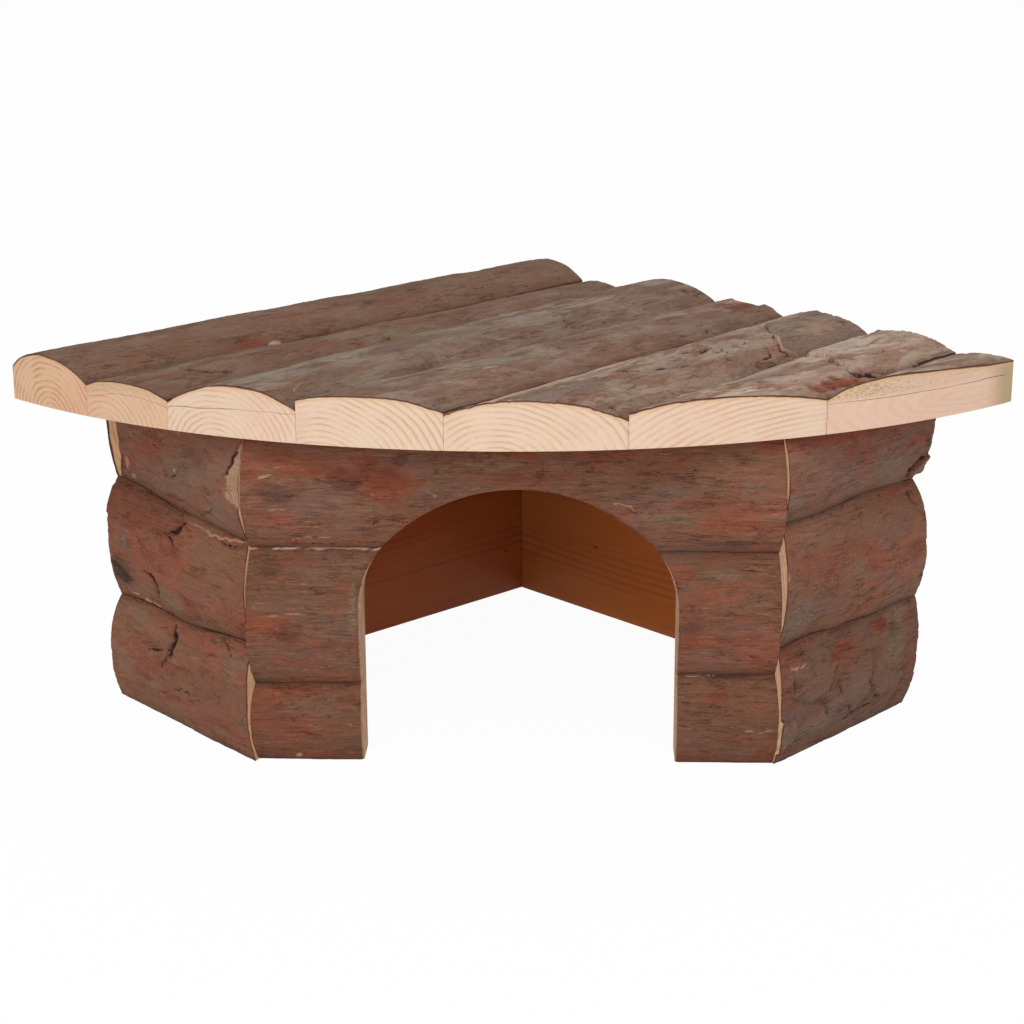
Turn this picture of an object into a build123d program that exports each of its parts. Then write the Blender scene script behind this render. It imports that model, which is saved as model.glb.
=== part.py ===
from build123d import *
from collections import namedtuple
import os
from math import sqrt

# A corner house for a hamster. Its walls are half-round bark slabs stacked on edge around a five-sided floor
# plan: two back walls that fit a cage corner, two side walls, and a front wall with an arched doorway. Its
# roof is seven bark slabs laid side by side, held by two battens, and lifts straight off the walls.
#
# Millimetres. The floor is z = 0, the front faces -Y, and the origin is under the middle of the roof.
# In plan, p runs along the roof slabs from the right-hand back edge of the roof, and q runs across them
# from the left-hand back edge, so the roof's back corner is p = q = 0.

# ---- Roof -------------------------------------------------------------------------------------------------
roof_leg = 150.0          # each of the two straight back edges
roof_bow = 41.8           # how far the curved front edge stands out from the line between the two tips
roof_tallest = 20.0       # height that is sure to hold the thickest slab
roof_trim = 1.0           # how much wider than the roof its first slab is before its edge is sawn straight

# Where the slabs meet, as widths from the left one to the right one: at the back edge and at the curved
# front. They are relative widths, because the seven slabs together fill the roof.
back_widths = (21.7, 14.8, 30.5, 20.0, 25.0, 23.0, 15.0)
front_widths = (24.3, 21.1, 26.4, 24.7, 23.8, 19.9, 9.8)

# Thickness of each slab at its left edge, its crown and its right edge: at the back, then at the front.
back_sections = (
    (9.6, 12.4, 8.4),
    (8.0, 9.0, 7.6),
    (7.9, 12.7, 9.2),
    (9.0, 11.6, 8.8),
    (8.8, 11.3, 8.0),
    (8.2, 10.4, 7.8),
    (8.0, 9.2, 9.3),
)
front_sections = (
    (7.1, 11.1, 6.6),
    (6.8, 8.7, 6.0),
    (5.9, 10.2, 6.5),
    (9.0, 10.3, 7.5),
    (7.1, 9.9, 4.9),
    (7.0, 9.2, 7.4),
    (7.1, 11.3, 10.2),
)

# ---- Walls ------------------------------------------------------------------------------------------------
wall_height = 70.7        # floor to the flat underside of the roof
wall_edge = 8.5           # thickness of a wall slab along its sawn edges, where nothing tapers it
back_overhang = 6.9       # roof past the sawn edges of the back walls
left_overhang = 17.5      # roof past the sawn edges of the left side wall
right_overhang = 15.2     # roof past the sawn edges of the right side wall
front_overhang = 12.8     # roof past the sawn edges of the front wall, at the middle of the curve
rough_run = 16.0          # how far a slab runs past the inside corner before its end is mitred
mitre_reach = 18.0        # more than any wall slab is thick

# Heights of the three courses of each wall from the floor up, at the first and then at the last corner that
# the wall runs between. They are relative heights, because the courses together fill the wall.
front_courses = ((17.2, 29.7, 23.8), (19.8, 26.4, 24.5))
left_courses = ((24.2, 26.7, 19.8), (25.4, 23.2, 22.1))
right_courses = ((25.4, 27.1, 18.2), (25.2, 27.1, 18.4))
back_left_courses = ((28.5, 22.0, 20.2), (24.2, 26.3, 20.2))
back_right_courses = ((25.6, 26.4, 18.7), (28.5, 22.0, 20.2))

# Thickness of the slabs of a wall at its two corners: lower edge, crown and upper edge of each course.
front_left_sections = ((8.0, 10.6, 8.5), (8.5, 11.0, 8.2), (8.4, 11.2, 8.6))
front_right_sections = ((8.0, 10.2, 8.3), (8.2, 10.2, 8.2), (8.4, 10.8, 8.6))
back_corner_sections = ((wall_edge, 12.5, wall_edge),) * 3
left_near_sections = ((10.8, 13.2, 9.6), (9.4, 12.4, 9.0), (9.0, 11.8, 9.0))
left_far_sections = ((8.2, 9.4, 7.3), (7.3, 9.0, 6.8), (6.6, 7.4, 7.0))
right_near_sections = ((9.3, 12.6, 9.0), (9.0, 13.4, 9.0), (8.8, 11.8, 9.6))
right_far_sections = ((6.2, 8.3, 7.3), (7.3, 8.9, 6.2), (6.1, 8.2, 8.4))
back_left_far_sections = ((8.5, 9.9, 7.6), (7.6, 9.5, 7.2), (7.2, 8.4, 8.0))
back_right_far_sections = ((6.4, 8.7, 7.6), (7.6, 9.3, 6.4), (6.3, 8.9, 9.0))

# ---- Doorway ----------------------------------------------------------------------------------------------
door_width = 65.0         # between the straight jambs
door_centre = 2.6         # sideways place of the doorway's middle
door_lintel = 10.9        # wood left above the arch, up to the roof
door_rise = 25.8          # from the top of the straight jambs to the arch's crown
door_shoulder = 20.0      # radius of the two side arcs of the arch

# ---- Battens under the roof, posts inside the corners, nails ----------------------------------------------
batten_width = 10.0
batten_depth = 8.0
batten_clearance = 1.0    # between a batten and a wall, so that the roof drops in place
front_batten_place = 65.0 # middle of the front batten, measured like the roof slabs from the back edge
post_leg = 12.0           # width of a corner post along each wall
post_edge = 3.0           # thickness of its two outer edges
post_drop = 1.5           # gap between a post's top and the battens above it
nail_diameter = 1.4
nail_head_diameter = 3.0
nail_head_height = 0.7
nail_bore_clearance = 0.1 # bore over shank, on the diameter
nail_tip_clearance = 0.3
wall_nail_length = 12.0
back_nail_length = 16.0
back_nail_inset = 4.0     # of a back corner nail from the room's inside corner
back_nail_seat = 0.05     # between its head and the bark
nail_bite = 5.0           # depth of a roof nail in its slab
nail_post_margin = 5.0    # least distance from a wall nail to the top of its post
nail_joint_margin = 1.5   # least distance from a wall nail to the joint under its slab
nail_share = 0.28         # of the post's inner face, from each side, to its row of nails

# ---- Worked out from the above ----------------------------------------------------------------------------
root_two = sqrt(2)
roof_half_chord = roof_leg / root_two
roof_depth = roof_half_chord + roof_bow
roof_radius = (roof_half_chord**2 + roof_bow**2) / (2 * roof_bow)
back_inside = back_overhang + wall_edge
left_inside = roof_leg - left_overhang - wall_edge
right_inside = roof_leg - right_overhang - wall_edge
front_inside = roof_depth - front_overhang - wall_edge
post_height = wall_height - batten_depth - post_drop
nail_bore = nail_diameter + nail_bore_clearance
up = Vector(0, 0, 1)
along_p = Vector(-1, -1, 0) / root_two
along_q = Vector(1, -1, 0) / root_two


def plan(p, q, z=0.0):
    """The point that lies p along the roof slabs and q across them, at height z."""
    return Vector((q - p) / root_two, roof_depth / 2 - (p + q) / root_two, z)


def blend(first, last, share):
    """The value that lies the given share of the way from first to last."""
    return first + (last - first) * share


# Inside corners of the room, in order round it, starting at the back.
room_corners = (
    plan(back_inside, back_inside),
    plan(left_inside, back_inside),
    plan(left_inside, root_two * front_inside - left_inside),
    plan(root_two * front_inside - right_inside, right_inside),
    plan(back_inside, right_inside),
)
BACK, FAR_LEFT, FRONT_LEFT, FRONT_RIGHT, FAR_RIGHT = range(5)


def outward(first):
    """Direction out of the room through the wall that starts at the given corner."""
    along = room_corners[(first + 1) % 5] - room_corners[first]
    return along.normalized().cross(up)


def mitre(corner):
    """Direction of the mitre at a corner, as long as it must be to pass one millimetre of wall."""
    before = outward((corner - 1) % 5)
    after = outward(corner)
    return (before + after) / (1 + before.dot(after))


def joint_levels(courses, joint):
    """Height at the first and at the last corner of a wall's joint: 0 is the floor and 3 is the roof."""
    return [wall_height * sum(heights[:joint]) / sum(heights) for heights in courses]


# ---- Nails ------------------------------------------------------------------------------------------------
Nail = namedtuple("Nail", "start way length")


def nail_plane(nail):
    """Plane at the underside of a nail's head, looking the way the nail is driven."""
    return Plane(origin=nail.start, z_dir=nail.way)


def bore_nails(nails):
    """Cut the holes that the nails leave in the piece being built."""
    for nail in nails:
        with BuildSketch(nail_plane(nail)) as bore:
            Circle(nail_bore / 2)
        extrude(bore.sketch, amount=nail.length + nail_tip_clearance, mode=Mode.SUBTRACT)


def nail_group(nails):
    """The nails themselves, each a shank with a flat head."""
    with BuildPart() as group:
        for nail in nails:
            with BuildSketch(nail_plane(nail)):
                Circle(nail_diameter / 2)
            extrude(amount=nail.length)
            with BuildSketch(nail_plane(nail).offset(-nail_head_height)):
                Circle(nail_head_diameter / 2)
            extrude(amount=nail_head_height)
    return group.part


def post_face(corner):
    """The two ends of a corner post's inner face, in plan: on the wall before it and on the one after."""
    here = room_corners[corner]
    back_along = (room_corners[(corner - 1) % 5] - here).normalized()
    on_along = (room_corners[(corner + 1) % 5] - here).normalized()
    first = here + back_along * post_leg - outward((corner - 1) % 5) * post_edge
    last = here + on_along * post_leg - outward(corner) * post_edge
    return first, last


def post_nail(corner, wall_is_after, low, high):
    """The nail that holds one course of one wall to the post in a corner."""
    first, last = post_face(corner)
    share = 1 - nail_share if wall_is_after else nail_share
    height = min((low + high) / 2, post_height - nail_post_margin)
    height = max(height, low + nail_joint_margin)
    start = first + (last - first) * share + up * height
    return Nail(start, mitre(corner).normalized(), wall_nail_length)


def wall_nails(first, heights, course):
    """The nails at the two ends of a course, by the corner that each is in."""
    low = joint_levels(heights, course)
    high = joint_levels(heights, course + 1)
    last = (first + 1) % 5
    nails = {}
    if first != BACK:
        nails[first] = post_nail(first, True, low[0], high[0])
    if last != BACK:
        nails[last] = post_nail(last, False, low[1], high[1])
    return nails


def back_nail(course):
    """The nail driven through a course of the left back wall into the end of the right one."""
    low = joint_levels(back_left_courses, course)
    high = joint_levels(back_left_courses, course + 1)
    share = -back_nail_inset / (room_corners[FAR_LEFT] - room_corners[BACK]).length
    crown = blend(back_corner_sections[course][1], back_left_far_sections[course][1], share)
    height = (blend(*low, share) + blend(*high, share)) / 2
    start = plan(back_inside - back_nail_inset, back_inside - crown - back_nail_seat, height)
    return Nail(start, along_q, back_nail_length)


# ---- Wall slabs -------------------------------------------------------------------------------------------
def pier_outline(first, last):
    """Plan of a wall between the mitres at two neighbouring corners."""
    start = room_corners[first]
    end = room_corners[last]
    return [start, end, end + mitre(last) * mitre_reach, start + mitre(first) * mitre_reach]


def half_front(corner):
    """Plan of the front wall from one of its corners to the middle of the doorway."""
    start = room_corners[corner]
    inside = Vector(door_centre, start.Y, 0)
    outside = Vector(door_centre, start.Y - mitre_reach, 0)
    return [start, inside, outside, start + mitre(corner) * mitre_reach]


def wall_slab(first, heights, course, first_section, last_section, outline, nails, doorway=False):
    """One half-round slab on edge, in the wall that starts at a corner, cut to its plan outline.

    It is drawn longer than the wall at both ends, as it is before the saw mitres it."""
    start = room_corners[first]
    run = room_corners[(first + 1) % 5] - start
    low_ends = joint_levels(heights, course)
    high_ends = joint_levels(heights, course + 1)
    with BuildPart() as slab:
        for share in (-rough_run / run.length, 1 + rough_run / run.length):
            lower, crown, upper = (blend(*ends, share) for ends in zip(first_section, last_section))
            low = blend(*low_ends, share)
            high = blend(*high_ends, share)
            with BuildSketch(Plane(start + run * share, x_dir=outward(first), z_dir=-run.normalized())):
                with BuildLine():
                    Polyline((lower, low), (0, low), (0, high), (upper, high))
                    ThreePointArc((upper, high), (crown, (low + high) / 2), (lower, low))
                make_face()
        loft()
        with BuildSketch(Plane.XY.offset(-mitre_reach)):
            with BuildLine():
                Polyline(*outline, close=True)
            make_face()
        extrude(amount=wall_height + 2 * mitre_reach, mode=Mode.INTERSECT)
        if doorway:
            cut_doorway()
        bore_nails(nails)
    return slab.part


def cut_doorway():
    """Cut the arched doorway out of the piece being built: straight jambs under a three-centred arch."""
    half = door_width / 2
    crown = wall_height - door_lintel
    spring = crown - door_rise
    top_radius = (half**2 - 2 * half * door_shoulder + door_rise**2) / (2 * (door_rise - door_shoulder))
    side_centre = Vector(half - door_shoulder, spring)
    top_centre = Vector(0, crown - top_radius)
    meeting = top_centre + (side_centre - top_centre).normalized() * top_radius
    behind = Vector(door_centre, room_corners[FRONT_LEFT].Y + mitre_reach, 0)
    with BuildSketch(Plane(behind, x_dir=(1, 0, 0), z_dir=(0, -1, 0))) as doorway:
        with BuildLine():
            Polyline((-half, spring), (-half, -mitre_reach), (half, -mitre_reach), (half, spring))
            TangentArc((half, spring), (meeting.X, meeting.Y), tangent=(0, 1))
            ThreePointArc((meeting.X, meeting.Y), (0, crown), (-meeting.X, meeting.Y))
            TangentArc((-half, spring), (-meeting.X, meeting.Y), tangent=(0, 1))
        make_face()
    extrude(doorway.sketch, amount=3 * mitre_reach, mode=Mode.SUBTRACT)


# ---- Corner posts -----------------------------------------------------------------------------------------
def corner_post(corner, nails):
    """The stick glued and nailed into a corner of the room, with a flat face towards the room."""
    here = room_corners[corner]
    back_along = (room_corners[(corner - 1) % 5] - here).normalized()
    on_along = (room_corners[(corner + 1) % 5] - here).normalized()
    first, last = post_face(corner)
    with BuildPart() as post:
        with BuildSketch():
            with BuildLine():
                Polyline(here, here + back_along * post_leg, first, last, here + on_along * post_leg,
                         close=True)
            make_face()
        extrude(amount=post_height)
        bore_nails(nails)
    return post.part


# ---- Roof -------------------------------------------------------------------------------------------------
def front_reach(q):
    """Length of a line along the slabs at q, from the right-hand back edge to the curved front edge."""
    centre = roof_radius - roof_depth
    offset = centre / root_two
    return sqrt(roof_radius**2 - centre**2 + offset**2 - q**2 - 2 * offset * q) - offset


def slab_edges(widths):
    """The places across the roof where the slabs start and end, for widths that together fill it."""
    total = sum(widths)
    return [roof_leg * sum(widths[:count]) / total for count in range(len(widths) + 1)]


back_edges = slab_edges(back_widths)
front_edges = slab_edges(front_widths)


def joint_at(number, p):
    """Place across the roof of a joint between slabs, at p along it."""
    drift = front_edges[number] - back_edges[number]
    if drift == 0:
        return back_edges[number]
    return back_edges[number] + drift * p / front_reach(front_edges[number])


def batten(near, far, first, last, nails):
    """A flat stick under the roof, from near to far along the slabs and from first to last across them."""
    with BuildPart() as stick:
        with BuildSketch(Plane.XY.offset(wall_height - batten_depth)):
            with BuildLine():
                Polyline(plan(near, first), plan(near, last), plan(far, last), plan(far, first), close=True)
            make_face()
        extrude(amount=batten_depth)
        bore_nails(nails)
    return stick.part


def roof_nail(number, middle, first, last):
    """The nail that holds a slab to the batten whose middle line is given, or None where it can't reach."""
    left = max(joint_at(number, middle), first)
    right = min(joint_at(number + 1, middle), last)
    if right - left < nail_head_diameter:
        return None
    start = plan(middle, (left + right) / 2, wall_height - batten_depth)
    return Nail(start, up, batten_depth + nail_bite)


def roof_slab(number, nails):
    """One half-round slab of the roof, cut off along the curve at its front."""
    reach = front_reach(front_edges[number]) + rough_run
    with BuildPart() as slab:
        for place, sections in ((-rough_run, back_sections), (reach, front_sections)):
            left_height, crown, right_height = sections[number]
            left = joint_at(number, place)
            right = joint_at(number + 1, place)
            middle = (left + right) / 2
            if number == 0:
                left -= roof_trim
            with BuildSketch(Plane(plan(place, 0, wall_height), x_dir=along_q, z_dir=along_p)):
                with BuildLine():
                    Polyline((left, left_height), (left, 0), (right, 0), (right, right_height))
                    ThreePointArc((right, right_height), (middle, crown), (left, left_height))
                make_face()
        loft()
        with BuildSketch(Plane.XY.offset(wall_height - roof_tallest)):
            with BuildLine():
                Polyline(plan(roof_leg, 0), plan(0, 0), plan(0, roof_leg))
                ThreePointArc(plan(0, roof_leg), Vector(0, -roof_depth / 2, 0), plan(roof_leg, 0))
            make_face()
        extrude(amount=2 * roof_tallest, mode=Mode.INTERSECT)
        bore_nails(nails)
    return slab.part


# ---- The pieces -------------------------------------------------------------------------------------------
pieces = {}

# Each wall: the corner it starts at, and the heights and sections of its three courses at its two corners.
walls = (
    ("back_left", BACK, back_left_courses, back_corner_sections, back_left_far_sections),
    ("left_side", FAR_LEFT, left_courses, left_far_sections, left_near_sections),
    ("front", FRONT_LEFT, front_courses, front_left_sections, front_right_sections),
    ("right_side", FRONT_RIGHT, right_courses, right_near_sections, right_far_sections),
    ("back_right", FAR_RIGHT, back_right_courses, back_right_far_sections, back_corner_sections),
)
courses = ("low", "mid", "top")
back_nails = [back_nail(course) for course in range(3)]
post_nails = {corner: [] for corner in (FAR_LEFT, FRONT_LEFT, FRONT_RIGHT, FAR_RIGHT)}

for wall, first, heights, first_sections, last_sections in walls:
    last = (first + 1) % 5
    for course, level in enumerate(courses):
        nails = wall_nails(first, heights, course)
        for corner, nail in nails.items():
            post_nails[corner].append(nail)
        driven = list(nails.values())
        if BACK in (first, last):
            driven.append(back_nails[course])
        sections = first_sections[course], last_sections[course]
        if wall != "front":
            outline = pier_outline(first, last)
            pieces[f"{wall}_{level}_slab"] = wall_slab(first, heights, course, *sections, outline, driven)
        elif level == "top":
            outline = pier_outline(first, last)
            pieces["front_top_slab"] = wall_slab(first, heights, course, *sections, outline, driven, True)
        else:
            for side, corner in (("left", first), ("right", last)):
                outline = half_front(corner)
                slab = wall_slab(first, heights, course, *sections, outline, driven, True)
                pieces[f"front_{level}_slab_{side}"] = slab

for place, corner in (("far_left", FAR_LEFT), ("front_left", FRONT_LEFT), ("front_right", FRONT_RIGHT),
                      ("far_right", FAR_RIGHT)):
    pieces[f"corner_post_{place}"] = corner_post(corner, post_nails[corner])
pieces["corner_post_nails"] = nail_group([nail for nails in post_nails.values() for nail in nails])
pieces["back_corner_nails"] = nail_group(back_nails)

# The back batten lies just inside the right-hand back wall, and the front one reaches the front wall.
batten_start = back_inside + batten_clearance
back_batten_end = right_inside - batten_clearance
front_batten_far = front_batten_place + batten_width / 2
front_batten_end = root_two * (front_inside - batten_clearance) - front_batten_far
battens = {
    "roof_batten_back": (batten_start, batten_start + batten_width, batten_start, back_batten_end),
    "roof_batten_front": (front_batten_far - batten_width, front_batten_far, batten_start, front_batten_end),
}
slab_numbers = range(len(back_widths))
roof_nails = {name: {} for name in battens}
for name, (near, far, first, last) in battens.items():
    for number in slab_numbers:
        nail = roof_nail(number, (near + far) / 2, first, last)
        if nail:
            roof_nails[name][number] = nail
    pieces[name] = batten(near, far, first, last, roof_nails[name].values())
for number in slab_numbers:
    driven = [nails[number] for nails in roof_nails.values() if number in nails]
    pieces[f"roof_slab_{number + 1}"] = roof_slab(number, driven)
pieces["roof_nails"] = nail_group([nail for nails in roof_nails.values() for nail in nails.values()])

os.makedirs("parts", exist_ok=True)
for name, piece in pieces.items():
    piece.label = name
    export_step(piece, f"parts/{name}.step")
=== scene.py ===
import math
from collections import namedtuple
from functools import partial

import bmesh
import bpy
import numpy as np
from bpy.props import FloatProperty, FloatVectorProperty, IntProperty, PointerProperty
from mathutils import Matrix, Vector


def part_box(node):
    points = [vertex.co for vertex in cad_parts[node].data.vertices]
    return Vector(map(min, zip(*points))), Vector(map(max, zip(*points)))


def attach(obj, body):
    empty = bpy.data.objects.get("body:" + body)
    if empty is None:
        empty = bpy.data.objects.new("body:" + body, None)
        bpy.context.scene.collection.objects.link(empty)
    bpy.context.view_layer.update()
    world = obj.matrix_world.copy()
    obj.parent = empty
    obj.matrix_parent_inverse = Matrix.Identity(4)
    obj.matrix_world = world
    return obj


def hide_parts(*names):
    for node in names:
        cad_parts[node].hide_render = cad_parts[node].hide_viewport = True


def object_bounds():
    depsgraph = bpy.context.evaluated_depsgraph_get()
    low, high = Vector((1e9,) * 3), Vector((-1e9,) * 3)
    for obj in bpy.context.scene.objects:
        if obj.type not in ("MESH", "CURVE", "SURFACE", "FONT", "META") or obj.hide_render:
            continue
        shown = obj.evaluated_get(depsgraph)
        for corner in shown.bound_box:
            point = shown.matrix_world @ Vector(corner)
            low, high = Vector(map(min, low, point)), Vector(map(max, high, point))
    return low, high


bl_info = {
    "name": "Bark Corner House",
    "version": (1, 0, 0),
    "blender": (4, 5, 0),
    "location": "3D View > Sidebar > Bark House",
    "description": "Builds a hamster's corner house from half-round bark slabs",
    "category": "Add Mesh",
}

# The house is made of half-round slabs that keep their bark. Every slab has a frame of its own: "along" runs
# with the grain, "across" runs over the width of its bark, and "out" runs from its sawn face to its bark.
# Tables of sizes are in millimetres, and everything else is in metres.

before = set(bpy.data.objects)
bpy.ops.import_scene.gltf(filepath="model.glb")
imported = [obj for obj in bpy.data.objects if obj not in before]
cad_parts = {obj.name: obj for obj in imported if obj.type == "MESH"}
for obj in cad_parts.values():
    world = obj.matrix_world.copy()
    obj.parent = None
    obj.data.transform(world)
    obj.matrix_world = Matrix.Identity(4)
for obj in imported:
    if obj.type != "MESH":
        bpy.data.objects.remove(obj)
CAD_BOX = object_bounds()
MM = 0.001
ROOT_TWO = math.sqrt(2.0)
UP = np.array((0.0, 0.0, 1.0))
ROOF_GRAIN = np.array((-1, -1, 0)) / ROOT_TWO
ROOF_ACROSS = np.array((1, -1, 0)) / ROOT_TWO

BOX_WIDTH = CAD_BOX[1][0] - CAD_BOX[0][0]
BOX_DEPTH = CAD_BOX[1][1] - CAD_BOX[0][1]
ROOF_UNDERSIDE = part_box("roof_slab_1")[0].z

# ---- Sizes of the slabs, in millimetres ----

# Widths of the roof slabs from the left one to the right one, at the back edge and at the curved front.
ROOF_BACK_WIDTHS = (21.7, 14.8, 30.5, 20.0, 25.0, 23.0, 15.0)
ROOF_FRONT_WIDTHS = (24.3, 21.1, 26.4, 24.7, 23.8, 19.9, 9.8)

# Thickness of each roof slab at its left edge, its crown and its right edge, at the back and at the front.
ROOF_BACK_SECTIONS = (
    (9.6, 12.4, 8.4),
    (8.0, 9.0, 7.6),
    (7.9, 12.7, 9.2),
    (9.0, 11.6, 8.8),
    (8.8, 11.3, 8.0),
    (8.2, 10.4, 7.8),
    (8.3, 8.8, 8.7),
)
ROOF_FRONT_SECTIONS = (
    (7.1, 11.1, 6.6),
    (6.8, 8.7, 6.0),
    (5.9, 10.2, 6.5),
    (9.0, 10.3, 7.5),
    (7.1, 9.9, 4.9),
    (7.0, 9.2, 7.4),
    (7.1, 11.3, 10.2),
)
# Where the heart of each roof slab's log lies, across from the slab's middle and above its sawn face.
ROOF_PITHS = ((1.5, -2.0), (-3.2, -4.0), (0.5, -2.7), (-5.0, -7.0), (-0.5, -3.5), (14.0, -12.0), (5.0, 4.0))

# Height of the three courses of each wall at its first and its last corner, from the floor up.
FRONT_COURSES = ((17.2, 29.7, 23.8), (19.8, 26.4, 24.5))
LEFT_COURSES = ((24.2, 26.7, 19.8), (25.4, 23.2, 22.1))
RIGHT_COURSES = ((25.4, 27.1, 18.2), (25.2, 27.1, 18.4))
BACK_LEFT_COURSES = ((28.5, 22.0, 20.2), (24.2, 26.3, 20.2))
BACK_RIGHT_COURSES = ((25.6, 26.4, 18.7), (28.5, 22.0, 20.2))

# Thickness of each course at its lower edge, its crown and its upper edge, at the corners of the room.
FRONT_LEFT_SECTIONS = ((8.0, 10.6, 8.5), (8.5, 11.0, 8.2), (8.4, 11.2, 8.6))
FRONT_RIGHT_SECTIONS = ((8.0, 10.2, 8.3), (8.2, 10.2, 8.2), (8.4, 10.8, 8.6))
BACK_CORNER_SECTIONS = ((8.5, 12.5, 8.5),) * 3
LEFT_NEAR_SECTIONS = ((9.4, 11.6, 8.9), (8.8, 11.2, 8.5), (9.0, 11.8, 9.0))
LEFT_FAR_SECTIONS = ((8.5, 9.9, 7.6), (7.6, 9.5, 7.2), (6.6, 7.4, 7.0))
RIGHT_NEAR_SECTIONS = ((8.6, 11.2, 8.6), (8.6, 11.8, 8.7), (8.8, 11.5, 9.3))
RIGHT_FAR_SECTIONS = ((6.4, 8.7, 7.6), (7.6, 9.3, 6.4), (6.4, 9.4, 8.4))
BACK_LEFT_FAR_SECTIONS = ((8.2, 9.4, 7.3), (7.3, 9.0, 6.8), (6.9, 8.4, 8.1))
BACK_RIGHT_FAR_SECTIONS = ((6.2, 8.3, 7.3), (7.3, 8.9, 6.2), (6.1, 8.2, 8.4))

# The room's corners in order round it, and each wall's first corner, courses, and sections at both its ends.
BACK, FAR_LEFT, FRONT_LEFT, FRONT_RIGHT, FAR_RIGHT = range(5)
WALLS = {
    "back_left": (BACK, BACK_LEFT_COURSES, BACK_CORNER_SECTIONS, BACK_LEFT_FAR_SECTIONS),
    "left_side": (FAR_LEFT, LEFT_COURSES, LEFT_FAR_SECTIONS, LEFT_NEAR_SECTIONS),
    "front": (FRONT_LEFT, FRONT_COURSES, FRONT_LEFT_SECTIONS, FRONT_RIGHT_SECTIONS),
    "right_side": (FRONT_RIGHT, RIGHT_COURSES, RIGHT_NEAR_SECTIONS, RIGHT_FAR_SECTIONS),
    "back_right": (FAR_RIGHT, BACK_RIGHT_COURSES, BACK_RIGHT_FAR_SECTIONS, BACK_CORNER_SECTIONS),
}
COURSES = ("low", "mid", "top")
# Where the heart of each wall slab's log lies, across from its middle and out from its sawn face.
WALL_PITHS = {"low": (2.0, -6.0), "mid": (-3.0, -9.0), "top": (1.0, -4.0)}

# ---- Shares and small distances ----
CROWN_POWER = 2.4           # how flat the middle of a slab's bark is: 2 is a parabola
SEAM_GAP = 0.05 * MM        # each slab's edge to the joint with its neighbour
WANDER_LENGTH = 24.0 * MM   # length of the waves in which a joint strays from its straight line
ROOF_WANDER, FRONT_WANDER, SIDE_WANDER = 0.35 * MM, 0.12 * MM, 0.55 * MM
TIP_CUT = 0.13 * MM         # how much is taken off the roof's sharp right-hand tip
SECTION_RUN = 16.0 * MM     # how far past both ends of a roof slab its given sections lie
MITRE_RUN = 12.0 * MM       # length of the slab in which its columns lean over to the mitre
FIRST_THICKNESS = 10.0 * MM     # of a wall slab, until the rounds that settle its points know better
SETTLING_ROUNDS = 6
ARCH_STEPS = 4001           # places at which the arch is held against the joint beside it
TINY = 1e-9                 # a difference that rounding alone can make
BARK_THICKNESS = 0.55 * MM
SKIN_LEVELS = (0.0, 0.3, 0.55, 0.75, 0.88, 0.95, 1.0)   # rows of points from a slab's sawn face to its bark
LEAST_ALONG, LEAST_ACROSS = 2, 6                        # least numbers of faces along and across a slab
RIM_POWER = 9               # how fast the bark's relief fades below the bark on a slab's cut faces
SEAM_SHADE = 0.9 * MM       # how far the dirt and the painted shade reach from a joint
DOOR_ROUNDING = 0.75 * MM   # width of the worn edge round the doorway
DOOR_ROUNDING_DEPTH = 0.55 * MM
DOOR_ROUNDING_POWER = 1.5
DOOR_BARE_RIM = 1.6         # how many times narrower the bare rim is than the worn edge
JAMB_RISE = 13.0 * MM       # how far above the straight jambs the worn edge is bare
JAMB_FADE = 6.0 * MM
ROOF_TIP = (0.97, 0.02)     # share of the last roof slab's width where its brown tip starts, and its fade
END_SHARE = 0.999           # share of a slab's length past which a point lies on its front end
GRAIN_STEP = 0.37           # how far apart two slabs are cut in the endless log that the grain is drawn from
STAGE_HALF = 6.0
FLOOR_DROP = 0.1 * MM

# Numbers of the slabs and sticks, which place them in the log, and starts of their random draws.
FIRST_WALL_NUMBER, NUMBERS_PER_WALL, RIGHT_HALF_STEP, FIRST_STICK_NUMBER = 10, 5, 3, 50
ROOF_JOINT_SEED, WALL_JOINT_STEP, CHANCE_SEED, SLAB_SEED_STEP, MARK_SEED_STEP = 300, 10, 900, 100, 7


def srgb(red, green, blue):
    """A colour given in the eight-bit steps of a screen, as the linear value that shaders use."""
    steps = [value / 255 for value in (red, green, blue)]
    linear = [s / 12.92 if s <= 0.04045 else ((s + 0.055) / 1.055) ** 2.4 for s in steps]
    return (*linear, 1.0)


def size_property(name, description, default):
    return FloatProperty(name=name, description=description, default=default, unit="LENGTH", precision=5)


def share_property(name, description, default):
    return FloatProperty(name=name, description=description, default=default, min=0.0, subtype="FACTOR")


def colour_property(name, description, default):
    return FloatVectorProperty(name=name, description=description, default=default, size=4, subtype="COLOR",
                               min=0.0, max=1.0)


# ---- Settings ----
class HouseRoofSettings(bpy.types.PropertyGroup):
    """Sizes of the roof."""
    leg: size_property("Back edge", "Length of each of the roof's two straight edges", BOX_WIDTH / ROOT_TWO)
    bow: size_property("Front bow", "How far the curved front stands out", BOX_DEPTH - BOX_WIDTH / 2)


class HouseWallSettings(bpy.types.PropertyGroup):
    """Sizes of the walls."""
    height: size_property("Height", "Floor to the underside of the roof", ROOF_UNDERSIDE)
    edge: size_property("Edge", "Thickness of a wall slab along its sawn edges", 8.5 * MM)
    back_overhang: size_property("Back overhang", "Roof past the back walls", 6.9 * MM)
    left_overhang: size_property("Left overhang", "Roof past the left side wall", 17.5 * MM)
    right_overhang: size_property("Right overhang", "Roof past the right side wall", 15.2 * MM)
    front_overhang: size_property("Front overhang", "Roof past the front wall, at its middle", 12.8 * MM)


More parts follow.
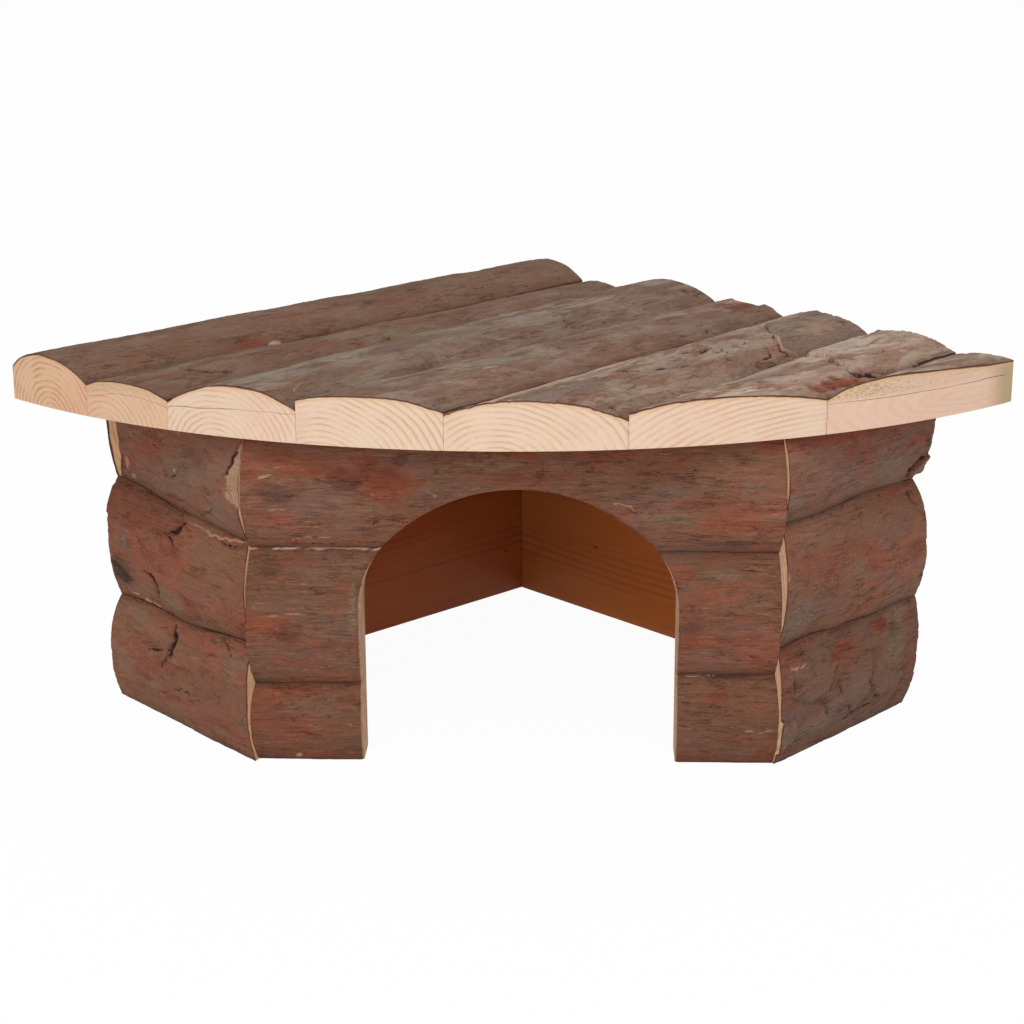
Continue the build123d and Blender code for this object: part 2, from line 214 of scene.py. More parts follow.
class HouseDoorwaySettings(bpy.types.PropertyGroup):
    """Sizes of the arched doorway."""
    width: size_property("Width", "Between the straight jambs", 65.0 * MM)
    centre: size_property("Centre", "Sideways place of its middle", 2.6 * MM)
    lintel: size_property("Lintel", "Wood left above the arch", 10.9 * MM)
    rise: size_property("Rise", "From the top of the jambs to the crown of the arch", 25.8 * MM)
    shoulder: size_property("Shoulder", "Radius of the arch's two side arcs", 20.0 * MM)


class HouseBarkSettings(bpy.types.PropertyGroup):
    """Relief and colours of the bark."""
    spacing: size_property("Mesh spacing", "Distance between two points of the bark's mesh", 0.42 * MM)
    undulation: size_property("Undulation", "Height of the log's gentle swellings", 0.55 * MM)
    fibre: size_property("Fibre", "Height of the fine ridges along the grain", 0.11 * MM)
    plates: size_property("Plates", "Height of the steps between scales of bark", 0.30 * MM)
    seed: IntProperty(name="Seed", description="Start of every random pattern", default=7)
    wall_brown: colour_property("Wall brown", "Main colour of the walls' bark", srgb(126, 88, 68))
    wall_red: colour_property("Wall red", "Redder bark of the walls", srgb(146, 76, 54))
    # The grey colours are weathering, and on one flank of each slab they also paint a sheen.
    wall_grey: colour_property("Wall grey", "Weathered grey on the walls", srgb(124, 102, 94))
    roof_brown: colour_property("Roof brown", "Main colour of the roof's bark", srgb(130, 101, 84))
    roof_red: colour_property("Roof red", "Redder bark of the roof", srgb(132, 90, 72))
    # The grey colours are weathering, and on one flank of each slab they also paint a sheen.
    roof_grey: colour_property("Roof grey", "Weathered grey on the roof", srgb(170, 154, 138))
    deep: colour_property("Deep bark", "Darkest patches of the bark", srgb(84, 54, 42))
    moss: colour_property("Moss", "Olive tinge on the bark", srgb(116, 98, 74))
    fleck: colour_property("Fleck", "Pale torn fibres of the bark", srgb(186, 148, 120))
    inner_bark: colour_property("Inner bark", "Fresh red bark under the outer bark", srgb(140, 74, 52))
    tan: colour_property("Tan", "Tinge of the warmer slabs", srgb(240, 200, 160))
    lichen: colour_property("Lichen", "Dry grey-green growth", srgb(138, 132, 110))
    crack: colour_property("Crack", "Depth of a crack", srgb(40, 20, 14))


class HouseWoodSettings(bpy.types.PropertyGroup):
    """Grain and colours of the bare wood."""
    ring: size_property("Ring spacing", "Distance between two growth rings", 1.15 * MM)
    pale: colour_property("Pale wood", "Spring wood of a fresh cut", srgb(219, 192, 166))
    ring_line: colour_property("Ring line", "Summer wood of a fresh cut", srgb(190, 138, 112))
    blush: colour_property("Blush", "Pink tinge of a fresh cut", srgb(216, 172, 154))
    warm: colour_property("Warm wood", "Tinge of the older cuts", srgb(236, 200, 150))
    # The inside faces' deep, orange wood is partly painted shade: a darker copy of the pale sawn wood.
    room: colour_property("Room wood", "Wood of the inside faces", srgb(206, 128, 68))
    room_deep: colour_property("Deep room wood", "Darker wood of the inside faces", srgb(190, 106, 46))
    room_line: colour_property("Room grain", "Grain lines of the inside faces", srgb(150, 76, 30))
    room_dimming: colour_property("Dimmer room wood", "Tinge of the darkest inside faces", srgb(216, 190, 176))
    knot: colour_property("Knot", "Knots in the inside faces", srgb(110, 52, 24))


class HouseStageSettings(bpy.types.PropertyGroup):
    """Camera and light."""
    camera: FloatVectorProperty(name="Camera", description="Place of the camera", subtype="XYZ",
                                unit="LENGTH", default=(0.01551, -0.48423, 0.18269), precision=5)
    target: FloatVectorProperty(name="Target", description="Point that the camera looks at", subtype="XYZ",
                                unit="LENGTH", default=(0.00040, -0.03212, 0.04578), precision=5)
    tilt: FloatProperty(name="Tilt", description="Turn of the camera about its view", default=-0.005,
                        subtype="ANGLE")
    lens: FloatProperty(name="Lens", description="Focal length", default=76.93, unit="CAMERA")
    ambient: share_property("Ambient", "Strength of the even light from all round", 0.52)
    key: FloatProperty(name="Key", description="Power of the large lamp above the front", default=24.0,
                       unit="POWER")
    fill: FloatProperty(name="Fill", description="Power of the lamp beside the camera", default=8.0,
                        unit="POWER")
    white: share_property("White", "Share of plain white in the floor that the camera sees", 0.96)


SETTINGS = {
    "house_roof": HouseRoofSettings,
    "house_walls": HouseWallSettings,
    "house_doorway": HouseDoorwaySettings,
    "house_bark": HouseBarkSettings,
    "house_wood": HouseWoodSettings,
    "house_stage": HouseStageSettings,
}


# Colours that a user has no need to change.
TORN_PALE, TORN_DEEP = srgb(204, 168, 138), srgb(176, 134, 104)
RUST_DEEP = srgb(94, 46, 34)
LICHEN_DEEP = srgb(96, 86, 68)
FILM_PALE, FILM_DEEP = srgb(130, 110, 98), srgb(98, 76, 66)
DARK_BARK = srgb(62, 42, 36)
SEAM_DIRT_AND_SHADE = srgb(50, 30, 22)
MOULD, MOULD_DOTS, TIP_BROWN = srgb(192, 168, 128), srgb(132, 102, 74), srgb(168, 146, 108)
HAIRLINE = srgb(104, 68, 48)
BARK_GLOW, BARK_EDGE = srgb(204, 162, 114), srgb(84, 50, 36)
STICK_PALE, STICK_LINE = srgb(226, 196, 160), srgb(196, 150, 112)
STEEL, DULL_STEEL = srgb(176, 176, 172), srgb(138, 132, 122)
FLOOR_TONES = srgb(232, 232, 232), srgb(238, 238, 238)


# ---- Plan of the house ----
def plan(along, across, height=0.0):
    """The point that lies along the roof slabs and across them, at a height."""
    return np.array(((across - along) / ROOT_TWO, BOX_DEPTH / 2 - (along + across) / ROOT_TWO, height))


def room_corners(scene):
    """Inside corners of the room, in order round it, starting at the back."""
    roof, walls = scene.house_roof, scene.house_walls
    back = walls.back_overhang + walls.edge
    left = roof.leg - walls.left_overhang - walls.edge
    right = roof.leg - walls.right_overhang - walls.edge
    front = (roof.leg / ROOT_TWO + roof.bow - walls.front_overhang - walls.edge) * ROOT_TWO
    return (plan(back, back), plan(left, back), plan(left, front - left), plan(front - right, right),
            plan(back, right))


def unit(vector):
    return vector / np.linalg.norm(vector)


def outward(corners, first):
    """Direction out of the room through the wall that starts at the given corner."""
    return np.cross(unit(corners[(first + 1) % 5] - corners[first]), UP)


def mitre(corners, corner):
    """Direction of the mitre at a corner, as long as it must be to pass one metre of wall."""
    before, after = outward(corners, (corner - 1) % 5), outward(corners, corner)
    return (before + after) / (1 + before @ after)


def between(first, last, share):
    return first + (last - first) * share


def joint_ends(courses, joint, height):
    """Height of a wall's joint at its two corners: 0 is the floor and 3 is the roof."""
    return [height * sum(heights[:joint]) / sum(heights) for heights in courses]


# ---- The doorway's outline ----
class Doorway:
    """Straight jambs under a three-centred arch."""

    def __init__(self, scene):
        door = scene.house_doorway
        self.half, self.centre, self.shoulder = door.width / 2, door.centre, door.shoulder
        self.crown = scene.house_walls.height - door.lintel
        self.spring = self.crown - door.rise
        rise = door.rise - self.shoulder
        self.top_radius = (self.half**2 - 2 * self.half * self.shoulder + door.rise**2) / (2 * rise)
        side = np.array((self.half - self.shoulder, self.spring))
        top = np.array((0.0, self.crown - self.top_radius))
        self.top_middle = top[1]
        self.meeting = top + unit(side - top) * self.top_radius

    def half_width(self, height):
        """Half of the doorway's width at a height."""
        lift = np.clip(height - self.spring, 0, self.shoulder)
        side = self.half - self.shoulder + np.sqrt(self.shoulder**2 - lift**2)
        rise = np.clip(height - self.top_middle, 0, self.top_radius)
        top = np.sqrt(self.top_radius**2 - rise**2)
        return np.where(height <= self.meeting[1], side, top)

    def arch(self, x):
        """Height of the arch at a place beside the doorway's middle."""
        aside = np.clip(np.abs(x - self.centre), 0, self.half)
        run = np.clip(aside - self.half + self.shoulder, 0, self.shoulder)
        side = self.spring + np.sqrt(self.shoulder**2 - run**2)
        top = self.top_middle + np.sqrt(np.clip(self.top_radius**2 - aside**2, 0, None))
        return np.where(aside >= self.meeting[0], side, top)

    def distance(self, x, height):
        """Distance from the doorway's edge, outside it."""
        beside = np.abs(x - self.centre)
        side = np.hypot(beside - self.half + self.shoulder, height - self.spring) - self.shoulder
        top = np.hypot(beside, height - self.top_middle) - self.top_radius
        steep = self.meeting[1] - self.top_middle
        arc = np.where(beside * steep > self.meeting[0] * (height - self.top_middle), side, top)
        return np.where(height < self.spring, beside - self.half, arc)


# ---- Slabs ----
class Slab:
    """The shape of one slab: where it starts and ends, its two edges, its thickness, and its own frame."""

    def __init__(self, name, origin, along, across, out, pith, number):
        self.name = name
        self.origin, self.along, self.across, self.out = origin, along, across, out
        self.pith = pith
        self.number = number
        self.curved_end = False

    def world(self, along, across, out):
        """Points of the slab's frame as points of the scene."""
        return (self.origin + np.multiply.outer(along, self.along) + np.multiply.outer(across, self.across)
                + np.multiply.outer(out, self.out))

    def grain(self, points):
        """Points of the scene as places in the log: along its grain, and across from its heart."""
        local = points - self.origin
        return np.stack((local @ self.along + self.number * GRAIN_STEP, local @ self.across - self.pith[0],
                         local @ self.out - self.pith[1]), axis=-1)

    def thickness(self, along, across):
        """Thickness of the slab, half-round between its two joints."""
        low, high = self.edge(0, along), self.edge(1, along)
        return crowned(self.sections, self.share(along), (2 * across - low - high) / (high - low))

    def stops(self):
        """Places along the slab, as shares of it, where its outline has a corner."""
        return ()

    def jamb_top(self):
        """Height up to which the doorway's worn edge shows bare wood."""
        return 0.0

    def wear(self, along, across):
        """Distance from the worn edge round the doorway, as a share of its width."""
        return np.full_like(along, 1.0)


def wander(along, seed, amount):
    """How far a joint strays from its straight line. Both slabs beside the joint share it."""
    return ripple(along, np.zeros_like(along), seed, WANDER_LENGTH) * amount


def crowned(sections, share, place):
    """Thickness of a half-round slab, given as (edge, crown, edge) at its two ends in millimetres.

    share goes along the slab, and place goes across its bark from -1 to 1."""
    first, crown, last = (between(*ends, share) * MM for ends in zip(*sections))
    chord = (first + last) / 2
    bulge = (crown - chord) * (1 - np.abs(np.clip(place, -1, 1)) ** CROWN_POWER)
    return chord + (last - first) / 2 * place + bulge


class RoofSlab(Slab):
    """A roof slab runs from the straight right-hand back edge to the curved front."""

    def __init__(self, scene, number):
        roof = scene.house_roof
        self.back, self.front = (
            [roof.leg * sum(widths[:count]) / sum(widths) for count in (number, number + 1)]
            for widths in (ROOF_BACK_WIDTHS, ROOF_FRONT_WIDTHS)
        )
        depth = roof.leg / ROOT_TWO + roof.bow
        self.radius = ((roof.leg / ROOT_TWO) ** 2 + roof.bow**2) / (2 * roof.bow)
        self.centre = self.radius - depth
        self.last = roof.leg - TIP_CUT
        self.gaps = (0.0 if number == 0 else SEAM_GAP, SEAM_GAP)
        self.sections = (ROOF_BACK_SECTIONS[number], ROOF_FRONT_SECTIONS[number])
        pith, rise = ROOF_PITHS[number]
        middle = sum((*self.back, *self.front)) / 4
        super().__init__(f"roof_slab_{number + 1}", plan(0, 0, scene.house_walls.height), ROOF_GRAIN,
                         ROOF_ACROSS, UP, (middle + pith * MM, rise * MM), number)
        self.length = self.reach(self.front[0])
        self.width = max(self.back[1] - self.back[0], self.front[1] - self.front[0])

    def reach(self, across):
        """Length of the slab at a place across the roof."""
        offset = self.centre / ROOT_TWO
        square = self.radius**2 - self.centre**2 + offset**2 - across**2 - 2 * offset * across
        return np.sqrt(square) - offset

    def edge(self, side, along):
        """Place across the roof of the slab's left (0) or right (1) joint. The roof's edges are straight."""
        back, front = self.back[side], self.front[side]
        if front == back:
            return np.full_like(along, back)
        strayed = wander(along, ROOF_JOINT_SEED + self.number + side, ROOF_WANDER)
        return back + (front - back) * along / self.reach(front) + strayed

    def share(self, along):
        """Place between the slab's two given sections."""
        return (along + SECTION_RUN) / (self.length + 2 * SECTION_RUN)

    def solve(self, u, v, w):
        """Places along, across and out of the points that lie at the shares u, v and w of them."""
        along = u * self.length
        for _ in range(SETTLING_ROUNDS):
            low = self.edge(0, along) + self.gaps[0]
            high = np.minimum(self.edge(1, along) - self.gaps[1], self.last)
            across = low + v * (high - low)
            along = u * self.reach(across)
        return along, across, w * self.thickness(along, across)


class WallSlab(Slab):
    """A wall slab lies on edge. It runs between two mitres, or between a mitre and the doorway."""

    def __init__(self, scene, wall, course, side, corners, doorway, number):
        first, courses, first_sections, last_sections = WALLS[wall]
        height = scene.house_walls.height
        start, end = corners[first], corners[(first + 1) % 5]
        self.run = np.linalg.norm(end - start)
        along, out = unit(end - start), outward(corners, first)
        self.low_ends = joint_ends(courses, course, height)
        self.high_ends = joint_ends(courses, course + 1, height)
        self.leans = mitre(corners, first) @ along, mitre(corners, (first + 1) % 5) @ along
        self.sections = (first_sections[course], last_sections[course])
        self.first, self.course = first, course
        self.wander = FRONT_WANDER if wall == "front" else SIDE_WANDER
        self.gaps = (0.0 if course == 0 else SEAM_GAP, SEAM_GAP)
        self.side = side
        self.doorway = doorway if wall == "front" else None
        self.arched = wall == "front" and course == 2
        pith, rise = WALL_PITHS[COURSES[course]]
        middle = (sum(self.low_ends) + sum(self.high_ends)) / 4
        name = f"{wall}_{COURSES[course]}_slab" + (f"_{side}" if side else "")
        super().__init__(name, start, along, UP, out, (middle + pith * MM, rise * MM), number)
        self.width = max(high - low for low, high in zip(self.low_ends, self.high_ends))
        self.length = self.run
        if side:
            self.length = (self.run - doorway.half * 2) / 2
            self.curved_end = True

    def door_place(self, side, height):
        """Place along the wall of the doorway's left or right edge at a height."""
        aside = self.doorway.half_width(height)
        return self.doorway.centre + (aside if side == "right" else -aside) - self.origin[0]

    def edge(self, side, along):
        """Height of the slab's lower (0) or upper (1) edge."""
        ends = self.high_ends if side else self.low_ends
        line = between(*ends, along / self.run)
        joint = self.course + side
        if 0 < joint < len(COURSES):
            line = line + wander(along, WALL_JOINT_STEP * self.first + joint, self.wander)
        return line + (-self.gaps[1] if side else self.gaps[0])

    def lower(self, along):
        """The slab's lower edge: its joint, or the arch where that is higher."""
        joint = self.edge(0, along)
        if not self.arched:
            return joint
        x = along + self.origin[0]
        inside = np.abs(x - self.doorway.centre) < self.doorway.half
        return np.where(inside, np.maximum(self.doorway.arch(x), joint), joint)

    def share(self, along):
        """Place between the sections at the wall's two corners."""
        return along / self.run

    def solve(self, u, v, w):
        """Places along, across and out of the points that lie at the shares u, v and w of them."""
        thick = np.full_like(u, FIRST_THICKNESS)
        along = u * self.run
        across = self.lower(along)
        for _ in range(SETTLING_ROUNDS):
            start, end = np.zeros_like(u), np.full_like(u, self.run)
            if self.side == "left":
                end = self.door_place("left", across)
            if self.side == "right":
                start = self.door_place("right", across)
            plain = start + u * (end - start)
            along = plain
            if self.side != "right":
                along = along + self.leans[0] * w * thick * np.clip(1 - plain / MITRE_RUN, 0, 1)
            if self.side != "left":
                along = along + self.leans[1] * w * thick * np.clip(1 - (self.run - plain) / MITRE_RUN, 0, 1)
            low = self.lower(along)
            across = low + v * (self.edge(1, along) - low)
            thick = self.thickness(along, across)
        return along, across, w * thick

    def stops(self):
        """Places along an arched slab, as shares of it, where its lower edge turns from joint to arch."""
        if not self.arched:
            return super().stops()
        along = np.linspace(0, self.run, ARCH_STEPS)
        above = self.lower(along) > self.edge(0, along) + TINY
        turns = np.flatnonzero(above[1:] != above[:-1])
        return tuple(along[turns] / self.run)

    def jamb_top(self):
        return self.doorway.spring + JAMB_RISE if self.doorway else super().jamb_top()

    def wear(self, along, across):
        if self.doorway is None:
            return super().wear(along, across)
        away = self.doorway.distance(along + self.origin[0], across)
        return np.clip(away / DOOR_ROUNDING, 0, 1)


def roof_slabs(scene):
    return [RoofSlab(scene, number) for number in range(len(ROOF_BACK_WIDTHS))]


def wall_slabs(scene, *walls):
    """The slabs of the given walls, or of all. The front wall's two lower courses are in two halves."""
    corners = room_corners(scene)
    doorway = Doorway(scene)
    slabs = []
    for place, wall in enumerate(WALLS):
        if walls and wall not in walls:
            continue
        for course in range(len(COURSES)):
            sides = ("left", "right") if wall == "front" and course < 2 else ("",)
            for half, side in enumerate(sides):
                number = FIRST_WALL_NUMBER + NUMBERS_PER_WALL * place + course + RIGHT_HALF_STEP * half
                slabs.append(WallSlab(scene, wall, course, side, corners, doorway, number))
    return slabs


# ---- Marks on the bark ----
# Places and sizes are in millimetres along and across the slab, in the slab's own frame, and so are a mark's
# rise over the bark around it, a crack's depth and a plate's lift and curl. Turns are in degrees.
Streak = namedtuple("Streak", "kind points width strength rise")
Patch = namedtuple("Patch", "kind middle size turn strength rise")
Plate = namedtuple("Plate", "outline lift curl kind strength")
TINTS = ("crack", "bare", "rust", "lichen", "grey", "dark")


def crack(*points, width=0.35, depth=0.6, strength=0.85):
    """A dark crack that sinks into the bark along the given points."""
    return Streak("crack", points, width, strength, -depth)


def streak(kind, *points, width=0.4, strength=0.6, rise=0.0):
    """A thin line of one tint along the given points."""
    return Streak(kind, points, width, strength, rise)


def patch(kind, x, y, long, wide, strength, turn=0.0, rise=0.0):
    """A ragged oval of one tint, given by its middle and by half of its length and of its width."""
    return Patch(kind, (x, y), (long, wide), turn, strength, rise)


def plate(*outline, lift=0.5, curl=0.3, kind="dark", strength=0.0):
    """A scale of bark inside the given points, raised by its lift and at its rim by its curl too."""
    return Plate(outline, lift, curl, kind, strength)


bare, rust, lichen, grey, dark = (partial(patch, kind) for kind in TINTS[1:])

MARKS = {
    "left_side_top_slab": (
        plate((43.5, 71), (46, 70), (46, 56), (43, 56), (40.5, 57.5), (39.5, 59.5), (41.5, 63.5), (43, 67.5),
              lift=-0.6, curl=0.0, kind="bare", strength=0.5),
        grey(43.5, 62, 2.5, 4, 0.7),
        crack((43.5, 70), (41.5, 65), (40, 61.5), width=0.45, depth=0.9),
        crack((40.3, 59.5), (42.5, 56), (43, 54.5), width=0.25, depth=0.5, strength=0.6),
        crack((26.5, 49.5), (34.5, 54), width=0.22, depth=0.4),
        crack((12.5, 56), (17, 56.5), (19.5, 57.5), (22, 60), width=0.25, depth=0.5),
        bare(-3.2, 55.2, 1.2, 1.9, 0.45), bare(-0.6, 52.4, 1.2, 0.8, 0.45), rust(-6.5, 55, 3, 2.5, 0.8),
        rust(9, 60, 5, 2.5, 0.4), lichen(24, 60, 11, 5, 0.6), lichen(34, 52, 6, 3, 0.6),
        rust(29, 63, 4, 1.6, 0.5), rust(15, 51.5, 5, 1.5, 0.5), bare(19, 58.5, 0.8, 0.5, 0.5),
        lichen(6, 49, 6, 2, 0.45),
    ),
    "left_side_mid_slab": (
        plate((-12, 50), (20, 50), (19.5, 45.5), (15.5, 43.5), (9, 43), (2, 41.5), (-6, 43), (-12, 43),
              lift=0.3, curl=0.15, kind="rust", strength=0.62),
        crack((21.2, 47.3), (19.5, 45.7), (18.1, 44.6), (14.1, 43.3), width=0.6, depth=1.1),
        crack((14.5, 43.6), (16.7, 42.2), (18.7, 40.7), width=0.4, depth=0.8),
        crack((5.8, 33), (8.5, 32.2), (9.8, 30), (9.4, 26.6), width=0.8, depth=1.2, strength=1.0),
        crack((32, 46.5), (37, 45.7), (43, 47), width=0.25, depth=0.4),
        crack((39, 28.5), (44.5, 29), width=0.3, depth=0.5),
        streak("bare", (21.5, 47.5), (26, 47.5), (32, 46.7), (44, 48), width=0.45, strength=0.6, rise=0.25),
        streak("bare", (-6, 26.5), (4, 25.6), (12, 25.4), width=0.35, strength=0.6, rise=0.2),
        grey(-2, 38, 3.2, 2.8, 1.0, rise=0.3), bare(-2, 38, 1.6, 1.2, 0.35), lichen(15, 28, 4.6, 3.4, 0.65),
        lichen(30, 42, 9, 5, 0.35), dark(-5, 30, 4.8, 3.4, 1.0), grey(-2, 28, 2.4, 1.2, 0.7),
        grey(24, 33, 5, 3, 0.5),
        streak("bare", (28, 33), (32, 31), (33, 28), width=0.5, strength=0.35),
    ),
    "left_side_low_slab": (
        crack((15.3, 22.4), (15.5, 19), (14.2, 15.4), width=1.3, depth=1.6, strength=1.0),
        crack((14.6, 16.8), (12.5, 13.8), (10.8, 11.8), width=0.45, depth=0.7),
        crack((14.2, 16.9), (11, 16.3), (5.5, 15), width=0.35, depth=0.6),
        crack((16, 8.3), (19, 9.6), (22, 9.3), (22.2, 7.6), width=0.28, depth=0.4),
        crack((33, 25), (35, 23.7), (37, 22), width=0.4, depth=0.7),
        rust(9.5, 12.5, 7, 3, 0.6), rust(30, 12, 9, 5, 0.35), lichen(39.5, 20.5, 4.5, 2.2, 0.65),
        lichen(2, 22, 5, 2, 0.55), lichen(-3, 9, 4, 4, 0.45),
        streak("bare", (36, 23), (39, 20.5), (40, 18), width=0.4, strength=0.35),
    ),
    "front_top_slab": (
        streak("bare", (-2, 62), (0, 62.3), (2.5, 63), width=0.35, strength=0.7),
        streak("bare", (4.5, 48), (8, 49.3), (14, 49.2), (13.7, 47.6), width=0.3, strength=0.55),
        streak("bare", (0, 55.5), (6, 55.7), width=0.35, strength=0.4),
        crack((21.5, 52.5), (23.5, 52.7), width=0.3, depth=0.4),
        crack((3, 47.8), (15, 47.6), (24, 48.2), width=0.16, depth=0.2),
        streak("bare", (16, 54.5), (21, 54.7), width=0.3, strength=0.35),
        streak("bare", (8, 51.8), (14, 52), width=0.3, strength=0.4),
        rust(25, 62, 4, 3.2, 0.75), rust(21, 65, 3, 1.5, 0.6), rust(3, 66.5, 6, 1.5, 0.6),
        rust(55, 62.5, 7, 1.6, 0.6), rust(80, 64, 7, 2.5, 0.5), rust(88, 57, 6, 2.2, 0.5),
        dark(2.5, 59, 6, 2.6, 0.7), dark(17.5, 62, 4, 2.4, 0.6), dark(28, 66, 2.2, 1.3, 0.7),
        dark(95, 67, 1.3, 0.8, 0.8), grey(8, 56, 9, 2, 0.55), grey(33, 58, 4, 2, 0.5),
        grey(82, 60, 4, 1.6, 0.8), grey(99, 60, 4, 2.2, 0.7), lichen(82, 53.5, 6, 2.2, 0.5),
        lichen(48, 65, 5, 1.6, 0.6),
        streak("bare", (70, 57.5), (74, 56.5), (76, 55), width=0.5, strength=0.5),
        streak("bare", (33, 59.5), (35.5, 58.5), width=0.6, strength=0.5),
        dark(95, 48.4, 6, 0.9, 0.8),
    ),
    "front_mid_slab_left": (
        streak("lichen", (17.8, 39.5), (17.3, 34), (17.5, 28.5), width=1.3, strength=0.7),
        streak("bare", (-4, 46.6), (10, 46.7), (22, 46.7), (38, 46.7), width=0.34, strength=0.95),
        streak("bare", (-1.5, 32.5), (10, 33.5), width=0.25, strength=0.45),
        dark(4, 29, 4, 2.2, 0.6), dark(0.5, 42, 2.6, 1.6, 0.6), grey(11, 41, 4, 2, 0.6),
        grey(12, 30, 5, 2.5, 0.5), rust(6, 44, 5, 1.6, 0.6),
    ),
    "front_low_slab_left": (
        bare(5.5, 1.2, 0.8, 0.6, 0.8), grey(8, 12, 5, 1.8, 0.5),
        crack((2, 18.6), (12, 19.2), width=0.25, depth=0.35),
    ),
    "front_mid_slab_right": (
        grey(93, 41.5, 3.5, 1.8, 0.75), grey(86, 39, 2, 1.6, 0.7), dark(86.5, 30.5, 3, 2, 0.55),
        grey(87, 24, 4, 2, 0.5), rust(92, 45, 6, 1.4, 0.6),
    ),
    "front_low_slab_right": (
        streak("bare", (82, 19.3), (92, 19.5), width=0.35, strength=0.7, rise=0.2),
        streak("bare", (94.5, 9), (99.5, 7.6), (104, 8), width=0.25, strength=0.5),
        rust(92, 15.5, 3, 1.6, 0.7), rust(102, 2, 3, 1.8, 0.8),
        # Painted shadow under the mid course's edge, along the joint.
        streak("dark", (89, 19.4), (96, 19.3), (103, 19.6), width=0.8, strength=0.8),
    ),
    "right_side_top_slab": (
        dark(44.5, 60.5, 1.2, 1.8, 0.9),
        crack((39.5, 55), (42, 56.2), (45, 58), width=0.5, depth=1.0),
        plate((40, 53.5), (39.8, 55), (45, 57.9), (48, 57.6), (47, 53), lift=0.6, curl=0.55, kind="lichen",
              strength=0.5),
        rust(20, 58, 5, 1.4, 0.5, turn=12), grey(8, 65, 8, 3, 0.4), lichen(33, 58, 7, 2.6, 0.4),
        crack((6, 50.5), (14, 51.5), (20, 52), width=0.3, depth=0.5),
    ),
    "right_side_mid_slab": (
        crack((40, 50.5), (41, 48), (43.5, 46), width=0.35, depth=0.7),
        dark(45, 30, 1.2, 0.9, 0.9), dark(42, 37, 3.5, 3, 0.5), grey(0.5, 31.5, 6.5, 5, 0.98),
        bare(-5.5, 41.5, 1.2, 2.2, 0.6), rust(12, 42, 15, 4.5, 0.45), rust(26, 36.5, 2.2, 1.2, 0.8),
        lichen(20, 38, 4, 2.4, 0.45), grey(37, 43, 5, 2.5, 0.4),
        streak("bare", (14, 33.5), (22, 34.2), (28, 35), width=0.3, strength=0.35),
    ),
    "right_side_low_slab": (
        rust(31, 22, 3.4, 2.4, 0.98, rise=-0.3), rust(17, 20, 5, 2.6, 0.98, rise=-0.3),
        grey(20, 10, 8, 5, 0.7, turn=20), lichen(36, 15, 5, 4, 0.5, turn=40),
        grey(4, 17, 6, 4, 0.5, turn=-20), grey(8, 6, 6, 3, 0.6),
        crack((28, 12.5), (27.7, 10), (29.5, 7), (31.5, 5), width=0.5, depth=0.9, strength=0.7),
        crack((18, 3.2), (21.5, 4.3), (28, 4.6), width=0.4, depth=0.8, strength=0.65),
        crack((10.5, 11), (11.5, 8), (12.5, 7), width=0.3, depth=0.6, strength=0.55),
        dark(35.6, 20, 1.4, 2.4, 0.65, turn=20), dark(27.6, 22.4, 1.2, 2.2, 0.5, turn=-20),
        dark(16, 22.6, 5, 0.9, 0.45, turn=15),
        plate((-8, 9.8), (-4, 10), (0.2, 9), (1.5, 6.7), (-1.1, 4.6), (-5, 3), (-8, 3), lift=0.6, curl=0.4,
              kind="grey", strength=0.8),
        plate((0, 22), (9, 23), (15, 19), (13, 13), (5, 12), (0, 15), lift=0.3, curl=0.15, kind="grey",
              strength=0.3),
        plate((19, 16), (27, 17), (27.5, 9), (22, 6), (16, 8), (15, 13), lift=0.35, curl=0.15, kind="grey",
              strength=0.35),
        streak("rust", (-4, 23), (-4.8, 17), (-5, 11.5), width=1.3, strength=0.9),
        streak("bare", (-2, 21), (2, 20.5), (4, 21), width=0.6, strength=0.55),
        lichen(37, 23, 5, 2, 0.5),
    ),
    "roof_slab_1": (
        rust(104, 21.8, 6, 1.7, 0.9, rise=-0.2), bare(98, 23, 1.8, 0.9, 0.7),
        streak("rust", (66, 23), (82, 23), (92, 23.2), width=1.0, strength=0.5),
        rust(80, 15, 12, 2.4, 0.4), dark(120, 10, 10, 2.4, 0.4), lichen(60, 6, 30, 2.0, 0.35),
        dark(106, 20, 6, 0.8, 0.6), grey(8, 14, 8, 3, 0.5),
    ),
    "roof_slab_2": (
        crack((129.5, 31.5), (128, 34), (126, 36.5), (124.6, 38), width=1.3, depth=1.2, strength=1.0),
        crack((123.6, 38.6), (121.8, 40), width=0.8, depth=0.8),
        lichen(81, 38, 4.5, 2.0, 0.8, rise=0.3), rust(78.5, 39.2, 2.2, 1.2, 0.9),
        crack((76.5, 38), (78.5, 39.6), (81, 39.6), width=0.3, depth=0.5),
        lichen(70, 36, 10, 3, 0.4), rust(95, 36, 8, 1.4, 0.5),
    ),
    "roof_slab_3": (
        streak("lichen", (131, 51.5), (115, 48), (97, 44.5), (80, 42.5), width=1.5, strength=0.6),
        streak("bare", (122, 64.5), (127.5, 68), width=0.35, strength=0.4),
        crack((43, 58.5), (45.5, 61.5), (48, 64.5), width=0.16, depth=0.25),
        streak("dark", (49, 64.5), (44, 65), (38, 64.8), width=0.3, strength=0.8),
        dark(4.5, 60, 1.6, 1.1, 0.9), grey(75, 56, 30, 6, 0.6), rust(52, 53, 8, 2, 0.35),
    ),
    "roof_slab_4": (
        bare(94.5, 80, 2.4, 0.8, 0.45), bare(89, 84, 3.2, 0.8, 0.45), lichen(86, 82, 10, 2.4, 0.6),
        crack((83.5, 84.6), (84.8, 85.4), width=0.4, depth=0.5),
        rust(7, 79, 5, 4, 0.85), bare(3.5, 76, 4, 1.6, 0.45),
